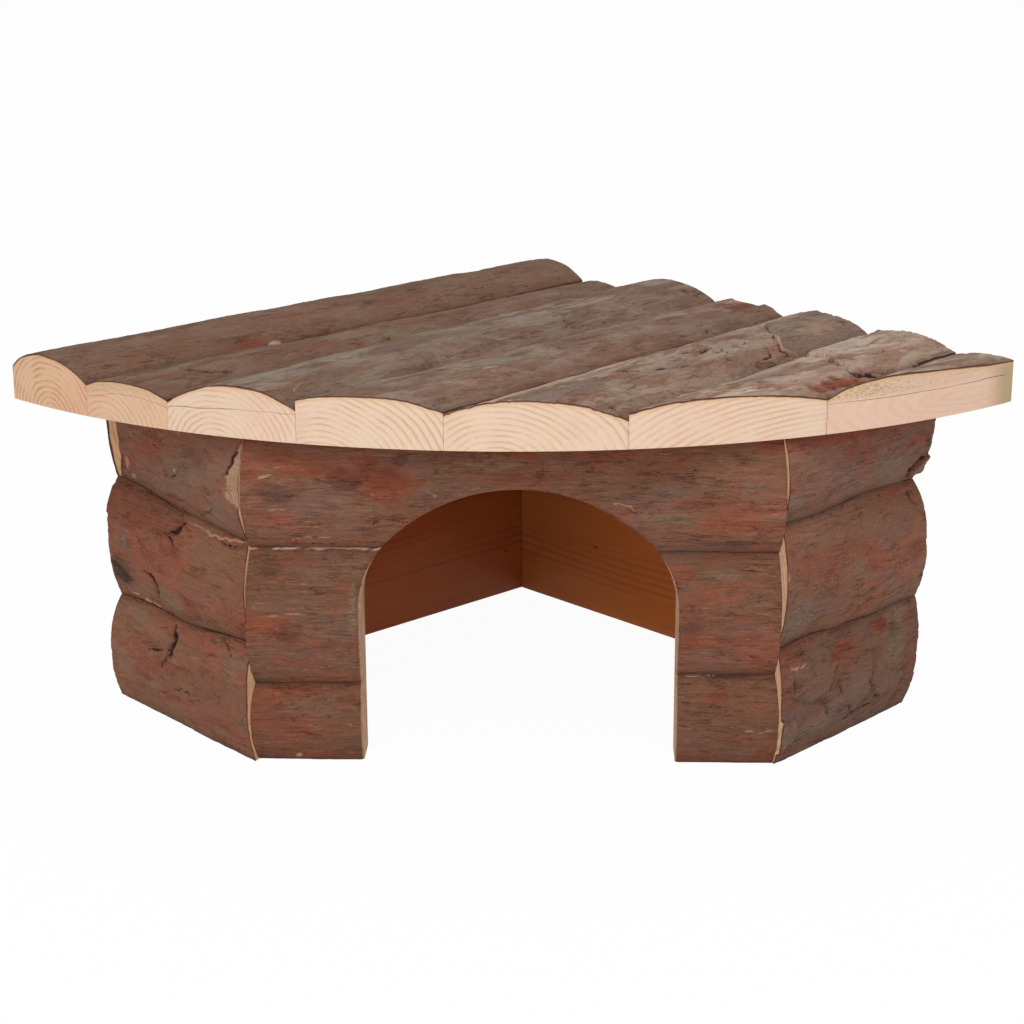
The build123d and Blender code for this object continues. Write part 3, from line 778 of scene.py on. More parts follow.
        plate((-1, 72), (2.4, 72.5), (1.8, 80.5), (-1, 81), lift=-1.0, curl=0.0, kind="bare", strength=0.9),
        dark(28, 78, 4, 1.4, 0.5), rust(22, 80, 7, 2.6, 0.35), grey(52, 76, 18, 2.4, 0.7),
        grey(26, 83, 11, 3, 0.75),
        crack((25, 86), (26.5, 87.2), width=0.45, depth=0.6),
        streak("rust", (82, 91.6), (70, 91.3), (61, 91), (50, 90.6), width=1.1, strength=0.75),
        crack((101, 83), (104, 85), width=0.35, depth=0.5),
    ),
    "roof_slab_5": (
        streak("bare", (146, 101), (128, 103), (112, 102), (98, 100.8), (80, 99), (62, 97), width=2.2,
               strength=0.75),
        plate((52, 101), (44, 106), (35, 105), (33, 100), lift=0.3, curl=0.3),
        plate((47, 109), (38, 115), (29, 112), (34, 107), lift=0.3, curl=0.3),
        plate((72, 104), (64, 107.5), (56, 108.5), (50, 106), (53, 102.5), (62, 100.5), lift=0.2, curl=0.2),
        crack((50, 105), (44, 104), (38, 104.5), width=0.45, depth=0.6),
        crack((40, 113.5), (34, 112), (31, 108), width=0.45, depth=0.6),
        crack((60, 106), (54, 108), width=0.4, depth=0.5),
        plate((-2, 96), (20, 98), (24.5, 106), (28.5, 111), (25, 114), (20, 119), (-2, 119),
              lift=0.5, curl=0.2, kind="grey", strength=0.85),
        bare(12, 106, 9, 4, 0.3),
        streak("bare", (22, 101), (25, 106.5), (28.6, 111), (26, 113.5), width=0.5, strength=0.6),
        dark(2.5, 106, 1.3, 0.9, 0.9),
        crack((91, 113), (87, 115), (86.5, 120), width=0.4, depth=0.8),
        grey(92, 107, 16, 4.5, 0.9), rust(56, 112, 9, 3, 0.4), dark(79, 104, 1.4, 0.7, 0.8),
    ),
    "roof_slab_6": (
        plate((-2, 114), (20, 114), (27, 116), (31, 124), (33, 131), (33.5, 135), (26, 137.2), (18, 136.8),
              (9, 136.2), (-2, 137), lift=0.55, curl=0.5),
        rust(41, 136, 11, 2.6, 0.98, rise=-0.3), rust(26, 139, 9, 1.4, 0.9),
        # The crack along the plate's lifted rim is also a painted shadow under it.
        crack((31.5, 124), (33.8, 131), (34.2, 135.5), (26, 138), (17, 137.8), width=0.45, depth=0.5),
        streak("bare", (20, 114.5), (27, 116.5), (31, 124), (32.8, 130.5), width=0.55, strength=0.7),
        streak("bare", (72, 118), (69, 121), (67, 126.5), (61, 130.5), width=0.6, strength=0.6, rise=0.2),
        streak("bare", (69, 117.5), (62, 121), (52, 123), width=0.5, strength=0.5),
        grey(50, 125, 12, 4, 0.7), lichen(47, 121, 3, 1.2, 0.5),
        crack((22, 122), (14, 124), (6, 127), width=0.4, depth=0.5),
        crack((15, 130), (9, 129), width=0.35, depth=0.5),
        dark(55, 128, 1.5, 0.8, 0.7),
    ),
    "roof_slab_7": (
        rust(38, 141, 8, 1.2, 0.7), grey(20, 144, 14, 2, 0.6),
        crack((34, 141), (26, 143), width=0.3, depth=0.4),
    ),
}

# A hairline that the drying wood opened in a slab's front end: its height above the sawn face at the slab's
# two joints and how far its middle bows up, in millimetres, how strongly the wood above it is stained, and
# how strongly the whole end blushes.
Split = namedtuple("Split", "first last bow stain blush")
SPLITS = {
    "roof_slab_2": Split(4.3, 4.5, 1.6, 0.6, 0.0),
    "roof_slab_3": Split(5.0, 6.0, 0.2, 0.0, 0.0),
    "roof_slab_7": Split(6.2, 6.2, 0.0, 0.75, 0.7),
}
NO_SPLIT = Split(99.0, 99.0, 0.0, 0.0, 0.0)

# How weathering has left a slab's bark: its share of grey film, which on one flank is also a painted sheen,
# its lightness, how fibrous and how scaly it is, and how warm the tinge of its bark and wood is. A slab that
# has no entry of its own takes its wall's. The roof slabs' lightness is partly the bark's own and partly
# painted light from above; it is lowest on the left slabs and highest on the right ones.
Look = namedtuple("Look", "weather tone fibrous scaly warm")
LOOKS = {
    "roof_slab_1": Look(0.25, 0.82, 0.20, 0.15, 0.75),
    "roof_slab_2": Look(0.35, 0.80, 0.30, 0.40, 0.60),
    "roof_slab_3": Look(0.85, 0.78, 0.10, 0.12, 0.0),
    "roof_slab_4": Look(0.60, 0.88, 0.30, 0.45, 0.0),
    "roof_slab_5": Look(0.75, 1.05, 0.30, 0.90, 0.0),
    "roof_slab_6": Look(0.95, 1.28, 0.25, 0.80, 0.0),
    "roof_slab_7": Look(0.85, 1.30, 0.30, 0.50, 0.0),
    "front": Look(0.40, 0.90, 0.75, 0.15, 0.8),
    "front_low_slab_left": Look(0.30, 0.84, 0.70, 0.15, 1.0),
    "front_low_slab_right": Look(0.30, 0.84, 0.70, 0.15, 1.0),
    "front_top_slab": Look(0.40, 1.00, 0.75, 0.15, 0.7),
    "left_side": Look(0.25, 1.14, 0.20, 0.45, 1.0),
    "left_side_top_slab": Look(0.55, 1.14, 0.20, 0.45, 0.8),
    "right_side": Look(0.40, 1.06, 0.25, 0.40, 0.6),
    "right_side_low_slab": Look(0.60, 0.82, 0.25, 0.60, 0.5),
    "right_side_top_slab": Look(0.75, 1.04, 0.35, 0.40, 0.6),
    "back_left": Look(0.40, 1.00, 0.40, 0.50, 1.0),
    "back_right": Look(0.40, 1.00, 0.40, 0.50, 0.6),
}
# Chance marks: the bark for each crack and for each patch of a kind, in square millimetres, and the kinds
# with their strengths. Bare patches are smaller than the others.
CRACK_AREA, PATCH_AREA, BARE_SHARE = 800, 1100, 0.25
CHANCE_PATCHES = (("lichen", 0.4), ("rust", 0.35), ("grey", 0.4), ("dark", 0.4), ("bare", 0.3))

RIPPLE_WAVES, RIPPLE_PEAK = 5, 3.2
STREAK_TIP, STREAK_TAPER = 0.12, 0.8    # width of a streak's tips as a share, and how fast it is reached
PATCH_REACH, PATCH_FADE = 1.25, 0.8     # where a patch ends and over which distance, as shares of its size
# A plate's edge, in millimetres: the width of its step and of its colour's, the run of its curl, and how far
# outside it the dark ring around it lies and how wide that is. The ring is a crack and also a painted shadow
# under the plate's raised rim.
PLATE_STEP, PLATE_COLOUR_STEP, CURL_RUN, CRACK_AND_SHADOW_AWAY, CRACK_AND_SHADOW_WIDTH = 0.7, 0.8, 1.4, 0.3, 0.34
CRACK_AND_SHADOW_TINT = 0.7


def look_of(name):
    """A slab's own look, or its wall's."""
    return LOOKS.get(name) or next(look for wall, look in LOOKS.items() if name.startswith(wall + "_"))


def chance_marks(slab):
    """A few small marks where chance puts them."""
    draws = np.random.default_rng(CHANCE_SEED + slab.number)
    width, length = slab.width / MM, slab.length / MM
    low = float(slab.edge(0, np.array([slab.length / 2]))[0]) / MM

    def spot():
        return draws.uniform(0.05, 0.95) * length, low + draws.uniform(0.12, 0.88) * width

    marks = []
    for _ in range(round(length * width / CRACK_AREA)):
        x, y = spot()
        run, lean = draws.uniform(2, 6), draws.uniform(-0.8, 0.8)
        middle = (x + run / 2, y + lean / 2 + draws.uniform(-0.3, 0.3))
        marks.append(crack((x, y), middle, (x + run, y + lean), width=draws.uniform(0.13, 0.24), depth=0.25))
    for kind, strength in CHANCE_PATCHES:
        for _ in range(round(length * width / PATCH_AREA)):
            size = draws.uniform(2.5, 8) * (BARE_SHARE if kind == "bare" else 1)
            marks.append(patch(kind, *spot(), size, size * draws.uniform(0.18, 0.4),
                               draws.uniform(0.4, 1.0) * strength, turn=draws.uniform(-12, 12)))
    return marks


def ripple(along, across, seed, length):
    """Smooth noise from -1 to 1 with features of about the given length."""
    draws = np.random.default_rng(seed)
    total = np.zeros_like(along)
    for _ in range(RIPPLE_WAVES):
        turn, phase = draws.uniform(0, math.tau), draws.uniform(0, math.tau)
        stretch = draws.uniform(0.6, 1.7)
        wave = (along * math.cos(turn) + across * math.sin(turn)) * math.tau / (length * stretch)
        total += np.sin(wave + phase)
    return total / RIPPLE_PEAK


def smooth(value):
    """An S-shaped rise from 0 to 1."""
    value = np.clip(value, 0, 1)
    return value * value * (3 - 2 * value)


def frayed(along, across, seed, length, amount):
    """How far a ripple moves each point, for a length and an amount in millimetres."""
    return ripple(along, across, seed, length * MM) * amount * MM


def to_segment(along, across, first, last):
    """Distance from a segment, and the share of it at which its nearest point lies."""
    run = np.subtract(last, first)
    share = np.clip(((along - first[0]) * run[0] + (across - first[1]) * run[1]) / (run @ run), 0, 1)
    return np.hypot(along - first[0] - share * run[0], across - first[1] - share * run[1]), share


def streak_cover(along, across, mark, seed):
    """How fully a streak covers each point, from 0 to 1. It is ragged, and thins out at its ends."""
    points = np.array(mark.points) * MM
    along = along + frayed(along, across, seed, 3.1, 0.3)
    across = across + frayed(along, across, seed + 1, 2.3, 0.26)
    uneven = np.clip(0.8 + 0.3 * ripple(along, across, seed + 2, 3.2 * MM), 0.5, 1.2)
    lengths = np.linalg.norm(np.diff(points, axis=0), axis=1)
    starts = np.concatenate(((0,), np.cumsum(lengths)))
    best = np.zeros_like(along)
    for index, length in enumerate(lengths):
        away, share = to_segment(along, across, points[index], points[index + 1])
        place = np.clip((starts[index] + share * length) / starts[-1], 0.02, 0.98)
        taper = STREAK_TIP + (1 - STREAK_TIP) * np.sin(math.pi * place) ** STREAK_TAPER
        best = np.maximum(best, np.exp(-((away / (mark.width * MM * uneven * taper)) ** 2)))
    return best


def outline_distance(along, across, outline, seed):
    """Signed distance from a closed outline, positive inside, with a ragged edge."""
    points = np.array(outline) * MM
    along = along + frayed(along, across, seed, 7.0, 0.9)
    along = along + frayed(along, across, seed + 3, 2.0, 0.12)
    across = across + frayed(along, across, seed + 1, 5.0, 0.7)
    away = np.full_like(along, np.inf)
    inside = np.zeros(along.shape, bool)
    for first, last in zip(points, np.roll(points, -1, axis=0)):
        away = np.minimum(away, to_segment(along, across, first, last)[0])
        rise = last[1] - first[1]
        if rise:
            crossing = first[0] + (across - first[1]) * (last[0] - first[0]) / rise
            inside ^= ((first[1] > across) != (last[1] > across)) & (along < crossing)
    return np.where(inside, away, -away)


def patch_cover(along, across, mark, seed):
    """How fully a ragged oval patch covers each point, from 0 to 1."""
    turn = math.radians(mark.turn)
    x, y = along - mark.middle[0] * MM, across - mark.middle[1] * MM
    x, y = x * math.cos(turn) + y * math.sin(turn), y * math.cos(turn) - x * math.sin(turn)
    away = np.hypot(x / mark.size[0], y / mark.size[1]) / MM
    away = away + 0.3 * ripple(along, across * 2, seed, 6 * MM)
    away = away + 0.12 * ripple(along, across * 2, seed + 1, 2 * MM)
    return smooth((PATCH_REACH - away) / PATCH_FADE)


def apply_marks(slab, along, across):
    """Rise of the bark that the slab's marks give, and how strongly each tint shows."""
    rise = np.zeros_like(along)
    tints = {name: np.zeros_like(along) for name in TINTS}

    def tint(kind, cover):
        tints[kind] = np.maximum(tints[kind], cover)

    for index, mark in enumerate((*MARKS.get(slab.name, ()), *chance_marks(slab))):
        seed = SLAB_SEED_STEP * slab.number + MARK_SEED_STEP * index
        if isinstance(mark, Plate):
            inside = outline_distance(along, across, mark.outline, seed) / MM
            rise += smooth(inside / PLATE_STEP + 0.5) * mark.lift * MM
            rise += np.where(inside > 0, np.exp(-inside / CURL_RUN), 0) * mark.curl * MM
            tint(mark.kind, smooth(inside / PLATE_COLOUR_STEP + 0.5) * mark.strength)
            # A raised plate gets a dark ring just outside its edge: a crack round it, and painted shadow
            # under its rim.
            if mark.lift > 0:
                broken = 0.5 + 0.5 * ripple(along, across, seed + 2, 5.0 * MM)
                around = np.exp(-(((inside + CRACK_AND_SHADOW_AWAY) / CRACK_AND_SHADOW_WIDTH) ** 2))
                tint("crack", np.clip(broken, 0, CRACK_AND_SHADOW_TINT) * around)
        else:
            cover_of = streak_cover if isinstance(mark, Streak) else patch_cover
            cover = cover_of(along, across, mark, seed)
            rise += cover * mark.rise * MM
            tint(mark.kind, cover * mark.strength)
    return rise, tints


# ---- Meshes ----
BARK_SLOT, SAWN_SLOT, ROOM_SLOT = range(3)


def skin_faces(nu, nv, nw, whole_back):
    """Points to keep, faces and material slots of the closed skin of a lattice of nu by nv by nw points.

    The sawn face is made of strips from edge to edge, or of the whole grid where an end of it is curved."""
    kept = np.zeros((nu, nv, nw), bool)
    kept[[0, -1]] = True
    kept[:, [0, -1]] = True
    kept[:, :, -1] = True
    kept[:, :, 0] |= whole_back
    number = np.full(kept.shape, -1)
    number[kept] = np.arange(kept.sum())
    faces, slots = [], []

    def add_faces(added, slot):
        faces.extend(added)
        slots.extend([slot] * len(added))

    def add_quads(corners, slot):
        add_faces(np.stack([c.ravel() for c in corners], axis=1).tolist(), slot)

    def add_grid(table, slot, turned):
        corners = [table[:-1, :-1], table[1:, :-1], table[1:, 1:], table[:-1, 1:]]
        add_quads(corners[::-1] if turned else corners, slot)

    add_grid(number[:, :, -1], BARK_SLOT, False)
    add_grid(number[:, 0], SAWN_SLOT, False)
    add_grid(number[:, -1], SAWN_SLOT, True)
    add_grid(number[0], SAWN_SLOT, True)
    add_grid(number[-1], SAWN_SLOT, False)
    if whole_back:
        add_grid(number[:, :, 0], ROOM_SLOT, True)
    else:
        low, high = number[:, 0, 0], number[:, -1, 0]
        add_quads([low[1:-2], high[1:-2], high[2:-1], low[2:-1]], ROOM_SLOT)
        first = number[0, :, 0].tolist() + [high[1], low[1]]
        last = [low[-2], high[-2]] + number[-1, ::-1, 0].tolist()
        add_faces([first, last], ROOM_SLOT)
    return kept, faces, slots


def levels(slab, spacing):
    """Shares along the slab of the rows of points, with a row at each of its stops."""
    stops = (0.0, *slab.stops(), 1.0)
    rows = []
    for first, last in zip(stops, stops[1:]):
        count = max(LEAST_ALONG, round((last - first) * slab.length / spacing))
        rows.extend(np.linspace(first, last, count, endpoint=False))
    return np.array([*rows, 1.0])


def add_attribute(mesh, name, values):
    """Store a number or a vector for each point of a mesh."""
    values = np.asarray(values, np.float32)
    kind, field = ("FLOAT_VECTOR", "vector") if values.ndim == 2 else ("FLOAT", "value")
    mesh.attributes.new(name, kind, "POINT").data.foreach_set(field, values.ravel())


def new_object(name, mesh):
    thing = bpy.data.objects.new(name, mesh)
    bpy.context.scene.collection.objects.link(thing)
    return thing


def slab_object(scene, slab, materials):
    """The slab's mesh with its marks, before its relief."""
    spacing = scene.house_bark.spacing * 1
    u = levels(slab, spacing)
    v = np.linspace(0, 1, max(LEAST_ACROSS, round(slab.width / spacing)) + 1)
    w = np.array(SKIN_LEVELS)
    kept, faces, slots = skin_faces(len(u), len(v), len(w), slab.curved_end)
    u, v, w = (axis[kept] for axis in np.meshgrid(u, v, w, indexing="ij"))
    along, across, out = slab.solve(u, v, w)
    thickness = slab.thickness(along, across)
    bark = w**RIM_POWER
    rise, tints = apply_marks(slab, along, across)
    wear = slab.wear(along, across)
    rise = rise - (1 - smooth(wear)) ** DOOR_ROUNDING_POWER * DOOR_ROUNDING_DEPTH
    jamb = smooth((slab.jamb_top() - across) / JAMB_FADE)
    tints["bare"] = np.maximum(tints["bare"], (1 - smooth(wear * DOOR_BARE_RIM)) * jamb)
    joint = np.minimum(across - slab.edge(0, along), slab.edge(1, along) - across)
    split = SPLITS.get(slab.name, NO_SPLIT)
    line = between(split.first, split.last, v) + split.bow * 4 * v * (1 - v)
    start, fade = ROOF_TIP

    mesh = bpy.data.meshes.new(slab.name)
    mesh.from_pydata(slab.world(along, across, out + bark * rise), [], faces)
    mesh.polygons.foreach_set("material_index", slots)
    for material in materials:
        mesh.materials.append(material)
    add_attribute(mesh, "grain", slab.grain(slab.world(along, across, out)))
    add_attribute(mesh, "bark", bark)
    add_attribute(mesh, "depth", (1 - w) * thickness)
    # Nearness to a joint, for the dirt and painted shade along it.
    add_attribute(mesh, "seam", np.exp(-np.clip(joint, 0, None) / SEAM_SHADE))
    add_attribute(mesh, "flank", 2 * v - 1)
    add_attribute(mesh, "split", np.where(u > END_SHARE, w * thickness - line * MM, -1.0))
    add_attribute(mesh, "tip", smooth((v - start) / fade) * (split.blush > 0))
    look = look_of(slab.name)
    for source, names in ((look, ("weather", "tone", "fibrous", "warm")), (split, ("stain", "blush"))):
        for name in names:
            add_attribute(mesh, name, np.full_like(u, getattr(source, name)))
    for name, values in tints.items():
        add_attribute(mesh, name, values * bark)
    return new_object(slab.name, mesh)


def bake(thing):
    """Turn an object and its modifiers into a plain mesh."""
    bpy.context.view_layer.update()
    depsgraph = bpy.context.evaluated_depsgraph_get()
    mesh = bpy.data.meshes.new_from_object(thing.evaluated_get(depsgraph), preserve_all_data_layers=True,
                                           depsgraph=depsgraph)
    thing.modifiers.clear()
    old, thing.data = thing.data, mesh
    bpy.data.meshes.remove(old)
    mesh.name = thing.name


def soften(mesh, angle):
    """Smooth shading, but for edges sharper than the angle in degrees."""
    mesh.shade_smooth()
    mesh.set_sharp_from_angle(angle=math.radians(angle))


# ---- Node helpers ----
class Value:
    """A number or vector that a node gives. Sums and products of numbers add the nodes that work them out."""

    def __init__(self, tree, socket):
        self.tree, self.socket = tree, socket

    def __add__(self, other):
        return self.tree.math("ADD", self, other)

    def __sub__(self, other):
        return self.tree.math("SUBTRACT", self, other)

    def __mul__(self, other):
        return self.tree.math("MULTIPLY", self, other)

    def __truediv__(self, other):
        return self.tree.math("DIVIDE", self, other)


class Tree:
    """Short ways to add nodes to a node tree."""

    def __init__(self, tree):
        self.tree = tree

    def feed(self, socket, value):
        """Link a value to a socket, or set the socket's own."""
        if isinstance(value, Value):
            value = value.socket
        if isinstance(value, bpy.types.NodeSocket):
            self.tree.links.new(value, socket)
        else:
            socket.default_value = value

    def add(self, kind, inputs=None, **settings):
        """A new node with its settings and inputs."""
        node = self.tree.nodes.new(kind)
        for key, value in settings.items():
            setattr(node, key, value)
        for key, value in (inputs or {}).items():
            self.feed(node.inputs[key], value)
        return node

    def value(self, kind, inputs=None, output=0, **settings):
        """What one output of a new node gives."""
        return Value(self, self.add(kind, inputs, **settings).outputs[output])

    def math(self, operation, first, second=0.0):
        return self.value("ShaderNodeMath", {0: first, 1: second}, operation=operation)

    def vector(self, operation, first, second=(0.0, 0.0, 0.0)):
        inputs = {0: first, "Scale" if operation == "SCALE" else 1: second}
        output = "Value" if operation in ("LENGTH", "DOT_PRODUCT") else "Vector"
        return self.value("ShaderNodeVectorMath", inputs, output, operation=operation)

    def thrice(self, number):
        """A number as the three parts of a vector or a grey."""
        return self.value("ShaderNodeCombineXYZ", {0: number, 1: number, 2: number})

    def noise(self, place, detail=3.0, roughness=0.55, distortion=0.0, output="Fac"):
        return self.value("ShaderNodeTexNoise", {"Vector": place, "Scale": 1.0, "Detail": detail,
                                                 "Roughness": roughness, "Distortion": distortion}, output)

    def span(self, value, low, high, first=0.0, last=1.0, kind="SMOOTHSTEP"):
        """Map low to high onto first to last, and hold it there outside them."""
        return self.value("ShaderNodeMapRange", {"Value": value, "From Min": low, "From Max": high,
                                                 "To Min": first, "To Max": last}, interpolation_type=kind)

    def ramp(self, *numbers):
        """As span, in a straight line."""
        return self.span(*numbers, kind="LINEAR")


class Paint(Tree):
    """A material's nodes. Its colour is laid on in layers."""

    def __init__(self, name, grained=True):
        self.material = bpy.data.materials.new(name)
        self.material.use_nodes = True
        super().__init__(self.material.node_tree)
        self.shader = self.tree.nodes["Principled BSDF"]
        self.place = self.attribute("grain", "Vector") if grained else self.object_place()
        self.colour = None

    def attribute(self, name, output="Fac"):
        return self.value("ShaderNodeAttribute", output=output, attribute_name=name)

    def object_place(self):
        return self.value("ShaderNodeTexCoord", output="Object")

    def texture(self, scales, shift=0.0, **settings):
        """Noise with a scale for each direction, along the grain first, from a place of its own."""
        place = self.vector("MULTIPLY", self.place, scales)
        return self.noise(self.vector("ADD", place, (shift, shift * 0.7, shift * 1.3)), **settings)

    def mix(self, share, first, second, blend="MIX"):
        inputs = {0: share, 6: first, 7: second}
        return self.value("ShaderNodeMix", inputs, 2, data_type="RGBA", blend_type=blend)

    def cover(self, share, colour, blend="MIX"):
        """Lay a share of another colour over the one that is there."""
        self.colour = self.mix(share, self.colour, colour, blend)

    def shade(self, number):
        """Multiply the colour by a number."""
        self.cover(1.0, self.thrice(number), "MULTIPLY")

    def bump(self, height, distance, strength):
        return self.value("ShaderNodeBump", {"Height": height, "Distance": distance, "Strength": strength})

    def finish(self, roughness, normal, specular):
        """Feed the shader, and give the finished material."""
        self.feed(self.shader.inputs["Base Color"], self.colour)
        self.feed(self.shader.inputs["Roughness"], roughness)
        self.feed(self.shader.inputs["Normal"], normal)
        self.shader.inputs["Specular IOR Level"].default_value = specular
        return self.material


# ---- Materials ----
def bark_material(scene, name, brown, red, weathered_grey_and_sheen):
    """Bark: brown and red patches, a grey film, streaks along the grain, and the slab's own marks.

    The grey film is partly weathering and partly a painted sheen on one flank. Painted shade darkens the
    bark's hollows, dirt and painted shade its joints, and painted light brightens its ridges.
    """
    bark = scene.house_bark
    paint = Paint(name)
    broad = paint.texture((38, 90, 90), detail=4, roughness=0.6)
    mottle = paint.texture((150, 300, 300), 5.3, detail=5, roughness=0.68, distortion=0.5)
    film = paint.texture((62, 170, 170), 9.1, detail=6, roughness=0.66, distortion=0.6)
    moss = paint.texture((85, 190, 190), 14.2, detail=5, roughness=0.66, distortion=0.5)
    streaks = paint.texture((140, 1350, 1350), 2.1, detail=5, roughness=0.68, distortion=0.35)
    threads = paint.texture((420, 4200, 4200), 8.7, detail=4, roughness=0.65)
    specks = paint.texture((1300, 2100, 2100), 3.9, detail=5, roughness=0.7)
    flecks = paint.texture((260, 1500, 1500), 11.2, detail=5, roughness=0.7)
    lines = paint.texture((90, 700, 700), 17.5, detail=4, roughness=0.6, distortion=0.5)
    fibrous = paint.attribute("fibrous")

    paint.colour = paint.mix(paint.span(broad, 0.42, 0.62) * (fibrous * 0.35 + 0.45), brown, red)
    paint.cover(paint.span(mottle, 0.52, 0.66) * 0.5, bark.deep)
    paint.cover(paint.span(moss, 0.53, 0.66) * 0.55, bark.moss)
    # The grey film is partly weathering and partly a painted sheen: full on a slab's first flank (a roof
    # slab's left, a wall slab's lower edge) and down to about half on the other.
    sky = paint.span(paint.attribute("flank"), -0.2, 0.9, 1.0, 0.45)
    paint.cover(paint.span(film, 0.40, 0.62) * paint.attribute("weather") * sky, weathered_grey_and_sheen)
    paint.cover(paint.span(flecks, 0.60, 0.70) * (fibrous * 0.40 + 0.15), bark.fleck)
    thin = paint.span(paint.math("ABSOLUTE", lines - 0.5), 0.0, 0.016, 1.0, 0.0)
    thin = thin * paint.span(mottle, 0.40, 0.60)
    paint.cover(thin * 0.38, bark.crack)

    shade = paint.ramp(streaks, 0.28, 0.72, -1.0, 1.0) * (fibrous * 0.24 + 0.06) + 1.0
    for noise, contrast in ((threads, 0.12), (specks, 0.20), (mottle, 0.14)):
        shade = shade * paint.ramp(noise, 0.25, 0.75, 1 - contrast, 1 + contrast)
    # Painted shade and light: the colour is darker where the bark's relief is low and lighter where it is
    # high.
    shade = shade * paint.ramp(paint.attribute("relief"), -0.35, 0.35, 0.72, 1.16)
    # Each slab's lightness; on the roof it is partly painted light from above.
    paint.shade(shade * paint.attribute("tone"))

    torn_wood = paint.mix(paint.span(streaks, 0.3, 0.7), TORN_PALE, TORN_DEEP)
    dust = paint.span(specks, 0.35, 0.65)
    tints = {
        "grey": paint.mix(dust, FILM_PALE, FILM_DEEP),
        "lichen": paint.mix(dust, bark.lichen, LICHEN_DEEP),
        "rust": paint.mix(paint.span(streaks, 0.35, 0.65), bark.inner_bark, RUST_DEEP),
        "dark": DARK_BARK,
    }
    worn = paint.span(flecks, 0.36, 0.56, 0.35, 1.0) * paint.span(streaks, 0.36, 0.54, 0.5, 1.0)
    for kind, tint in tints.items():
        mark = paint.attribute(kind)
        paint.cover(mark * paint.math("MAXIMUM", worn, paint.math("POWER", mark, 2.0)), tint)
    paint.cover(paint.attribute("warm") * 0.4, bark.tan, "MULTIPLY")
    # Dirt and painted shade along the joints.
    paint.cover(paint.attribute("seam") * 0.5, SEAM_DIRT_AND_SHADE)
    torn, cracked = paint.attribute("bare"), paint.attribute("crack")
    ragged = (flecks - 0.5) * 0.5
    paint.cover(paint.span(torn + ragged, 0.15, 0.4) * torn, torn_wood)
    paint.cover(cracked * 0.6, bark.deep)
    paint.cover(paint.span(cracked + ragged, 0.36, 0.72, 0.0, 0.92), bark.crack)

    height = streaks * (fibrous * 0.7 + 0.25) + specks * 0.5 + threads * 0.25 - thin * 0.4
    return paint.finish(paint.span(mottle, 0.3, 0.7, 0.64, 0.86), paint.bump(height, 0.45 * MM, 0.8), 0.18)


def ring_pattern(paint, ring):
    """Growth rings: slow pale spring wood that ends in a sharp line of summer wood."""
    wobble = paint.texture((14, 110, 110), 1.7, detail=2, output="Color")
    wobble = paint.vector("SCALE", paint.vector("SUBTRACT", wobble, (0.5, 0.5, 0.5)), 1.6 * MM)
    flat = paint.vector("MULTIPLY", paint.vector("ADD", paint.place, wobble), (0.0, 1.0, 1.0))
    drift = paint.texture((9, 30, 30), 4.4, detail=1)
    phase = paint.math("FRACT", paint.vector("LENGTH", flat) / ring + drift * 2.0)
    return paint.span(phase, 0.42, 0.90) * paint.span(phase, 0.92, 1.0, 1.0, 0.0)


def sawn_material(scene, name, pale, line, cut_bark):
    """Freshly cut wood, with growth rings, pores and saw marks, and at a slab's end its hairline and bark."""
    wood = scene.house_wood
    paint = Paint(name)
    late = ring_pattern(paint, wood.ring)
    uneven = paint.texture((60, 190, 190), 2.9, detail=3)
    pores = paint.texture((900, 5200, 5200), 6.1, detail=3, roughness=0.65)
    clouds = paint.texture((35, 70, 70), 9.5, detail=3, roughness=0.6)
    specks = paint.texture((900, 1900, 1900), 12.4, detail=4, roughness=0.7)
    warm, stain = paint.attribute("warm"), paint.attribute("stain")
    strength = late * paint.span(uneven, 0.35, 0.65, 0.12, 0.80) * (warm * 0.9 + 0.75) * (stain * -0.7 + 1.0)
    paint.colour = paint.mix(strength, pale, line)
    paint.cover(paint.span(clouds, 0.45, 0.72) * 0.45, wood.blush)
    paint.cover(warm * 0.6, wood.warm, "MULTIPLY")
    paint.cover(paint.attribute("blush") * 0.6, wood.blush)
    paint.shade(paint.ramp(pores, 0.2, 0.8, 0.90, 1.06) * paint.ramp(specks, 0.25, 0.75, 0.95, 1.04))
    if cut_bark:
        split = paint.attribute("split")
        low = paint.span(paint.attribute("flank"), -0.3, 0.9, 1.0, 0.3)
        mould = paint.span(split, 0.0, 1.2 * MM) * stain * low
        dots = paint.texture((900, 3800, 3800), 15.8, detail=2, roughness=0.6)
        paint.cover(mould * paint.span(specks, 0.35, 0.62, 0.35, 1.0), MOULD)
        paint.cover(mould * paint.span(dots, 0.52, 0.60, 0.0, 0.75), MOULD_DOTS)
        paint.cover(paint.attribute("tip") * 0.85, TIP_BROWN)
        stray = uneven - 0.5
        away = paint.math("ABSOLUTE", split + stray * (0.8 * MM))
        hairline = paint.span(away, 0.03 * MM, 0.14 * MM, 1.0, 0.0)
        paint.cover(hairline * paint.span(clouds, 0.35, 0.6, 0.9, 0.35), HAIRLINE)
        depth = paint.attribute("depth") + stray * (0.5 * MM)
        paint.cover(paint.span(depth, BARK_THICKNESS, BARK_THICKNESS * 2.6, 0.5, 0.0), BARK_GLOW)
        paint.cover(paint.span(depth, BARK_THICKNESS * 0.45, BARK_THICKNESS * 0.95, 1.0, 0.0), BARK_EDGE)
    saw = paint.texture((2600, 420, 2600), 7.7, detail=2)
    bump = paint.bump(pores * 0.6 + saw * 0.4 - late * 0.15, 0.14 * MM, 0.6)
    return paint.finish(paint.span(uneven, 0.3, 0.7, 0.58, 0.72), bump, 0.25)


